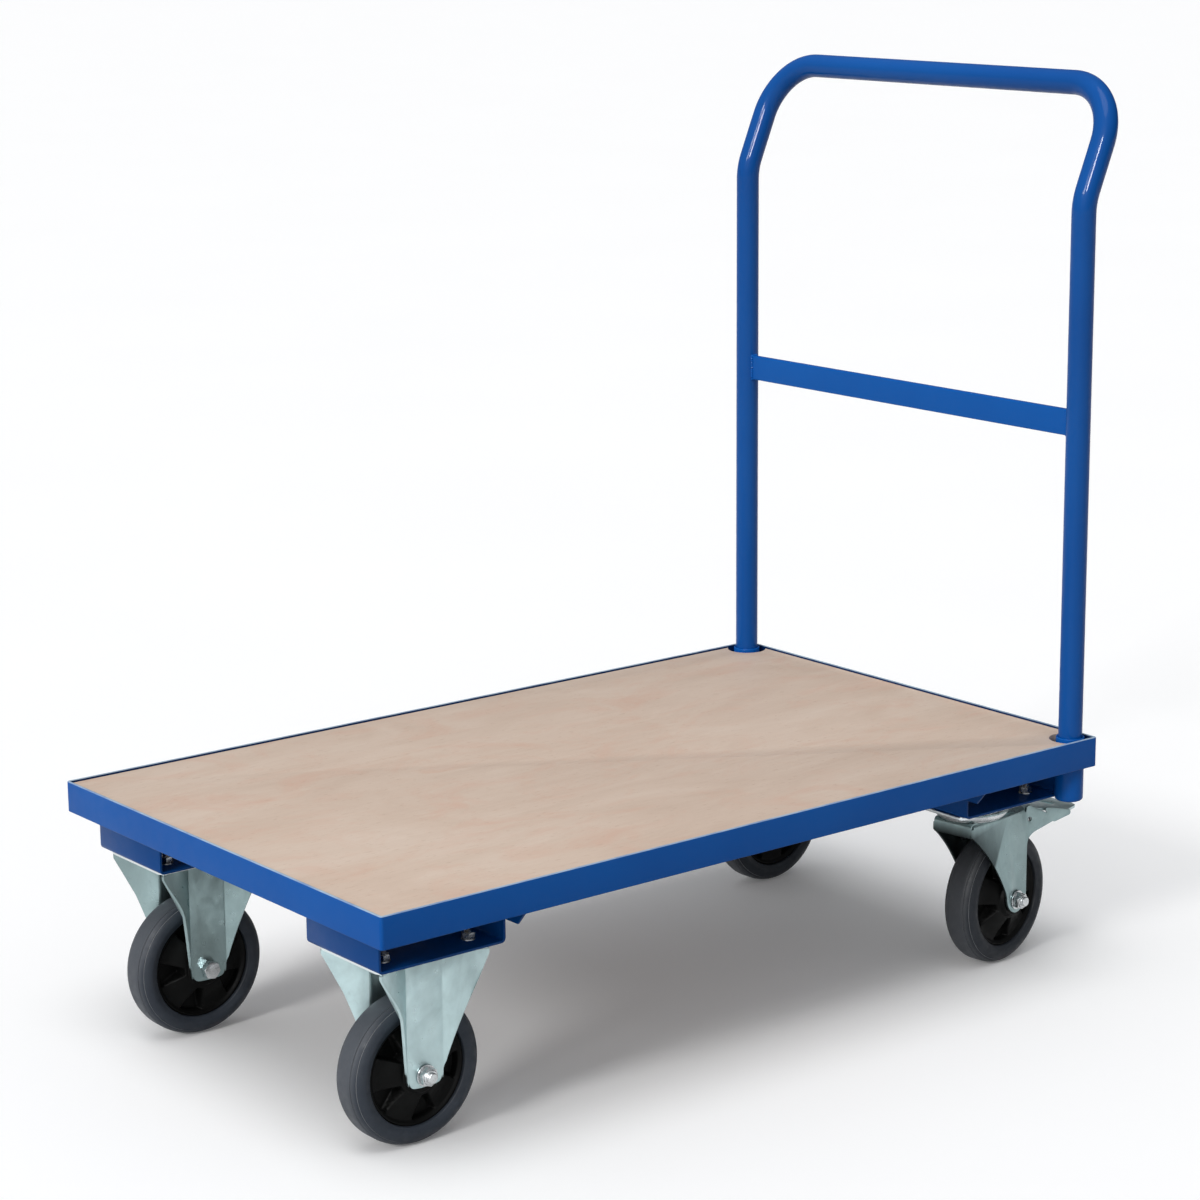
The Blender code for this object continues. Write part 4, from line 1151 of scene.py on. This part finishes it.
def make_housing(side_name, place):
    """Fixed castor: plate and two legs with flanks folded outwards."""
    bm = castor_plate()
    flare = FLANK_FLARE + FLANK_TWIST[0]
    reach = FLANK_LENGTH - 0.003
    fold = (LEG_HALF + reach * math.cos(flare), CHEEK_MIDDLE + reach * math.sin(flare))
    corner = (LEG_HALF + 0.001, CHEEK_MIDDLE)
    line = [(-fold[0], fold[1]), (-corner[0], corner[1]), corner, fold]
    for side in (-1.0, 1.0):
        leg = pressed(leg_outline(), [circle((0.0, WHEEL_RADIUS), AXLE_BORE)])
        for direction in (-1.0, 1.0):
            bend(leg, direction * LEG_HALF, direction, side * FLANK_FLARE, 0.006, 6)
        twist_flanks(leg, side)
        merged(bm, move(leg, shift((0.0, side * CHEEK_MIDDLE, 0.0))))
        for offset in (-0.0022, 0.0022):
            path = [(x, side * min(y + offset, 0.0535), PLATE_BOTTOM - 0.0002) for x, y in line]
            merged(bm, bead(path, 0.0014))
    # The right housing takes the darker zinc copy as painted shade; its marks are painted shade round
    # the wheel and a painted highlight on the plate
    build("fixed_housing_" + side_name, bm, "frame", "zinc",
          ["fixed_castor_housing_" + side_name], place,
          "shaded_zinc" if side_name == "right" else None, grime=wheel_grime, polish=plate_polish)


def make_head(side_name, place):
    """Swivel castor: top plate, ball race and kingpin."""
    # The plate's mark is a painted highlight on its rim
    build("swivel_plate_" + side_name, castor_plate(), "frame", "zinc",
          ["swivel_top_plate_" + side_name], place, polish=plate_polish)
    high, low = PLATE_BOTTOM - GAP, CROWN_TOP + GAP
    race = [(AXLE_BORE, high), (0.0425, high), (0.0430, high - 0.0006), (0.0430, high - 0.0028),
            (0.0420, high - 0.0040), (0.0395, high - 0.0050), (0.0395, high - 0.0062),
            (0.0432, high - 0.0068), (0.0445, high - 0.0082), (0.0440, high - 0.0105),
            (0.0415, low + 0.0026), (0.0390, low + 0.0006), (0.0386, low), (AXLE_BORE, low)]
    build("swivel_race_" + side_name, lathe(race, 80), "frame", "bearing_steel",
          ["swivel_ball_race_" + side_name], place)
    under = CROWN_TOP - SHEET - GAP
    pin = [(0.0, PLATE_TOP - GAP), (0.0052, PLATE_TOP - GAP), (0.0060, PLATE_TOP - 0.0011),
           (0.0060, under), (0.0116, under), (0.0120, under - 0.0005), (0.0120, under - 0.0056),
           (0.0105, under - 0.0074), (0.0, under - 0.0074)]
    build("swivel_pivot_" + side_name, lathe(pin, 56, False), "frame", "bearing_steel",
          ["swivel_kingpin_" + side_name], place)


def cheek_outline(flap):
    """Side view of a fork cheek with its trailing wing and the flap that becomes the crown."""
    tip = WING_CREASE + WING_LENGTH
    half = WING_CREASE - SWIVEL_TRAIL
    flap_rear = WING_CREASE - 0.006
    start = CROWN_TOP - 0.0068
    top = [(FRONT_EDGE, start), (FRONT_EDGE + 0.004, start), (FRONT_EDGE + 0.004, flap),
           (flap_rear, flap), (flap_rear, start), (flap_rear + 0.003, start),
           (flap_rear + 0.004, CROWN_TOP - 0.0015), (WING_CREASE + 0.003, CROWN_TOP)]
    wing = rounded([(WING_CREASE + 0.02, CROWN_TOP - 0.0034), (tip, RAIL_TOP - 0.105),
                    (tip, RAIL_TOP - 0.111), (WING_CREASE + 0.034, RAIL_TOP - 0.1190)], 0.004, 4)
    throat = bow((WING_CREASE + 0.014, RAIL_TOP - 0.1262), (WING_CREASE + 0.001, RAIL_TOP - 0.1310),
                 (WING_CREASE, RAIL_TOP - 0.145), 10)
    foot = arc((SWIVEL_TRAIL, WHEEL_RADIUS + 0.006), half, 0, -180, 26, squash=0.0215 / half)
    front = bow((FRONT_CREASE, RAIL_TOP - 0.192), (0.005, RAIL_TOP - 0.1426),
                (FRONT_EDGE, RAIL_TOP - 0.111), 20)
    return top + wing[:-1] + throat + foot + front


def make_fork(side_name, place):
    """Crown and cheeks in one pressing, mirrored about the wheel's mid-plane, and a skirt."""
    radius = 0.0045
    start = CROWN_TOP - SHEET / 2.0 - radius
    flap = start + radius * math.pi / 2.0 + CHEEK_MIDDLE - radius + 0.010
    cheek = pressed(cheek_outline(flap), [circle((SWIVEL_TRAIL, WHEEL_RADIUS), AXLE_BORE),
                                          circle(BRAKE_PIVOT, BRAKE_BORE, 20)])
    bend(cheek, start + radius * math.pi / 4.0, 1.0, -math.pi / 2.0, radius, 7, "z",
         lambda x: FRONT_EDGE + 0.003 < x < WING_CREASE - 0.0045)
    bend(cheek, WING_CREASE, 1.0, WING_FLARE, 0.006, 6)
    bend(cheek, FRONT_CREASE, -1.0, FRONT_FLARE, 0.010, 3)
    move(cheek, shift((0.0, CHEEK_MIDDLE, 0.0)))
    bmesh.ops.bisect_plane(cheek, geom=whole(cheek), plane_co=(0.0, 0.0, 0.0),
                           plane_no=(0.0, 1.0, 0.0), clear_inner=True)
    other = cheek.copy()
    move(other, MIRROR_Y)
    bmesh.ops.reverse_faces(other, faces=other.faces)
    merged(cheek, other)
    bmesh.ops.remove_doubles(cheek, verts=cheek.verts, dist=0.00001)
    front_x = FRONT_CREASE - (FRONT_CREASE - FRONT_EDGE) * math.cos(FRONT_FLARE)
    front_y = CHEEK_MIDDLE + (FRONT_CREASE - FRONT_EDGE) * math.sin(FRONT_FLARE)
    level = CROWN_TOP - SHEET / 2.0 - 0.0001
    path = [(front_x + 0.013, level), (front_x + 0.0015, level),
            (front_x + 0.0015, RAIL_TOP - 0.1130)]
    skirt = ease_edges(blank(folded_section(path, SHEET - 0.0003, 0.0040, 6), 2 * front_y + 0.001),
                       0.0005)
    merged(cheek, skirt)
    body = "swivel_fork_" + side_name
    # The fork takes the darker zinc copy as painted shade, and painted shade on its faces round the
    # wheel
    build("castor_fork_" + side_name, cheek, body, "zinc", [body], place, "shaded_zinc",
          grime=wheel_grime)
    half = CHEEK_OUTER + 0.0008
    pin = both_ways([(0.0, half - 0.004), (0.0017, half - 0.004), (0.0017, half - 0.0003),
                     (0.0020, half), (0.0025, half - 0.0004)])
    lay = shift((BRAKE_PIVOT[0], 0.0, BRAKE_PIVOT[1])) @ LAY_FLAT
    build("roll_pin_" + side_name, lathe(pin, 32, False), body, "bearing_steel",
          ["brake_pin_" + side_name], place @ lay)


def make_pedal(side_name, place):
    """Brake pedal: plate with a slot, two ears on the pin and a shoe over the tyre."""
    inner = CHEEK_OUTER - SHEET
    heel = WING_CREASE - 0.002
    heel_half = inner - 0.002
    wide_x = 0.122
    wide_half = inner + (wide_x - WING_CREASE) * math.tan(WING_FLARE) - 0.003
    right = [(heel, heel_half), (WING_CREASE + 0.002, heel_half), (wide_x, wide_half),
             (0.148, wide_half - 0.008), (0.156, wide_half - 0.020)]
    corners = right + [(x, -y) for x, y in reversed(right)]
    radii = [0.003, 0.010, 0.010, 0.012, 0.010]
    slot_far, slot_half = 0.132, 0.030
    slot = rounded([(wide_x, -slot_half), (slot_far, -slot_half), (slot_far, slot_half),
                    (wide_x, slot_half)], 0.0048, 6)
    plate = pressed(rounded(corners, radii + radii[::-1], 6), [slot])
    move(plate, shift((-heel, 0.0, 0.0)) @ LAY_FLAT)
    lift = shift((heel, 0.0, RAIL_TOP - 0.099)) @ Matrix.Rotation(PEDAL_PITCH, 4, "Y")
    move(plate, lift @ lifted(-SHEET / 2.0))
    pivot_x, pivot_z = BRAKE_PIVOT
    top = pivot_z + 0.010
    ear_outline = [(heel, top), (heel, pivot_z)]
    ear_outline += arc(BRAKE_PIVOT, pivot_x - heel, 180, 360, 18)
    ear_outline += [(pivot_x + 0.012, top)]
    for side in (-1.0, 1.0):
        ear = pressed(ear_outline, [circle(BRAKE_PIVOT, BRAKE_BORE, 20)], SHEET, 0.0004)
        middle = side * (heel_half - SHEET / 2.0 - 0.0005)
        merged(plate, move(ear, shift((0.0, middle, 0.0))))
    shoe_near, shoe_far = 0.080, 0.095
    shoe = rounded([(shoe_near, top), (shoe_near, RAIL_TOP - 0.1276),
                    (shoe_far, RAIL_TOP - 0.1300), (shoe_far, pivot_z + 0.008)], 0.0012, 4)
    merged(plate, ease_edges(blank(shoe, 0.030), 0.0006))
    body = "brake_pedal_" + side_name
    build("pedal_plate_" + side_name, plate, body, "zinc", [body], place)


def make_castors():
    """Fixed castors under the front end and swivel castors under the rear end."""
    for side_name, side in SIDES.items():
        fixed = shift(from_deck(FIXED_X, side * CASTOR_Y))
        make_housing(side_name, fixed)
        make_wheel("fixed", side_name, fixed, RIM_PHASE["fixed", side_name])
        make_axle("fixed", side_name, "frame", fixed)
        kingpin = shift(from_deck(KINGPIN_X, side * CASTOR_Y))
        make_head(side_name, kingpin)
        turning = kingpin @ Matrix.Rotation(SWIVEL_YAW[side_name], 4, "Z")
        trailing = turning @ shift((SWIVEL_TRAIL, 0.0, 0.0))
        make_fork(side_name, turning)
        make_pedal(side_name, turning)
        make_wheel("swivel", side_name, trailing, RIM_PHASE["swivel", side_name])
        make_axle("swivel", side_name, "swivel_fork_" + side_name, trailing)
        make_plate_bolts("plate_bolts_front_" + side_name, FIXED_X, side * CASTOR_Y)
        make_plate_bolts("plate_bolts_rear_" + side_name, KINGPIN_X, side * CASTOR_Y)


# ---- studio ----
PAPER_DARK, PAPER_PALE = (0.955, 0.955, 0.96), (0.965, 0.965, 0.97)
PAPER_GLOW = 0.07
SKY_DARK, SKY_PALE = (0.10, 0.105, 0.115), (0.86, 0.87, 0.88)
SKY_BRIGHTEST = Vector((-0.80, -0.10, 0.60)).normalized()
SKY_STRENGTH = 0.82


def make_floor():
    """Plain pale floor that fills the view."""
    size = 60.0
    mesh = bpy.data.meshes.new("studio_floor")
    mesh.from_pydata([(x, y, 0.0) for x, y in rectangle(size, size)], [], [(0, 1, 2, 3)])
    floor = add_object("studio_floor", mesh)
    paper = Surface("studio_paper", 0.9)
    paper.colour(paper.ramp(paper.noise(1.5, 2.0), (0.3, PAPER_DARK), (0.7, PAPER_PALE)))
    paper.shader.inputs["Emission Color"].default_value = (*WHITE, 1.0)
    paper.shader.inputs["Emission Strength"].default_value = PAPER_GLOW
    mesh.materials.append(paper.material)
    floor.visible_diffuse = False


def sun_light(name, towards, strength, spread, colour=(1.0, 1.0, 1.0), reflected_only=False):
    """Even light that comes down along the direction towards."""
    light = bpy.data.lights.new(name, "SUN")
    light.energy = strength
    light.angle = math.radians(spread)
    light.color = colour
    lamp = add_object(name, light)
    lamp.rotation_euler = Vector(towards).to_track_quat("-Z", "Y").to_euler()
    lamp.visible_diffuse = not reflected_only


def make_world():
    """Pale surroundings, brighter overhead and towards the front left; white to the camera."""
    world = bpy.data.worlds.new("studio")
    sky = Graph(world)
    direction = sky.add("ShaderNodeTexCoord").outputs["Generated"]
    nearness = sky.remap(sky.dot(direction, SKY_BRIGHTEST), -0.55, 1.0, 0.0, 1.0)
    gradient = sky.ramp(nearness, (0.0, SKY_DARK), (1.0, SKY_PALE))
    light = sky.tree.nodes["Background"]
    light.inputs["Strength"].default_value = SKY_STRENGTH
    sky.link(gradient, light.inputs["Color"])
    backdrop = sky.add("ShaderNodeBackground", {"Color": (*WHITE, 1.0)})
    chosen = sky.add("ShaderNodeMixShader",
                     {0: sky.add("ShaderNodeLightPath").outputs["Is Camera Ray"],
                      1: light.outputs["Background"], 2: backdrop.outputs["Background"]})
    sky.link(chosen.outputs["Shader"], sky.tree.nodes["World Output"].inputs["Surface"])
    return world


def make_studio():
    """Floor, surroundings and lights, under the plain view transform."""
    make_floor()
    scene = bpy.context.scene
    scene.view_settings.view_transform = "Standard"
    scene.view_settings.look = "None"
    scene.world = make_world()
    sun_light("key", (0.86, 0.22, -0.47), 1.03, 11.0, (1.0, 0.99, 0.97))
    sun_light("overhead", (0.20, 0.15, -1.0), 1.16, 40.0)
    sun_light("glint", (0.69, 0.53, -0.50), 2.0, 11.0, reflected_only=True)


def make_trolley():
    """Every piece of the trolley."""
    make_frame_rim()
    make_board()
    for end_name in ENDS:
        make_crossmember(end_name)
        for side_name in SIDES:
            make_bracket(end_name, side_name)
    for side_name in SIDES:
        make_socket(side_name)
    make_frame_welds()
    make_handle()
    make_castors()


make_trolley()
make_studio()
make_camera()
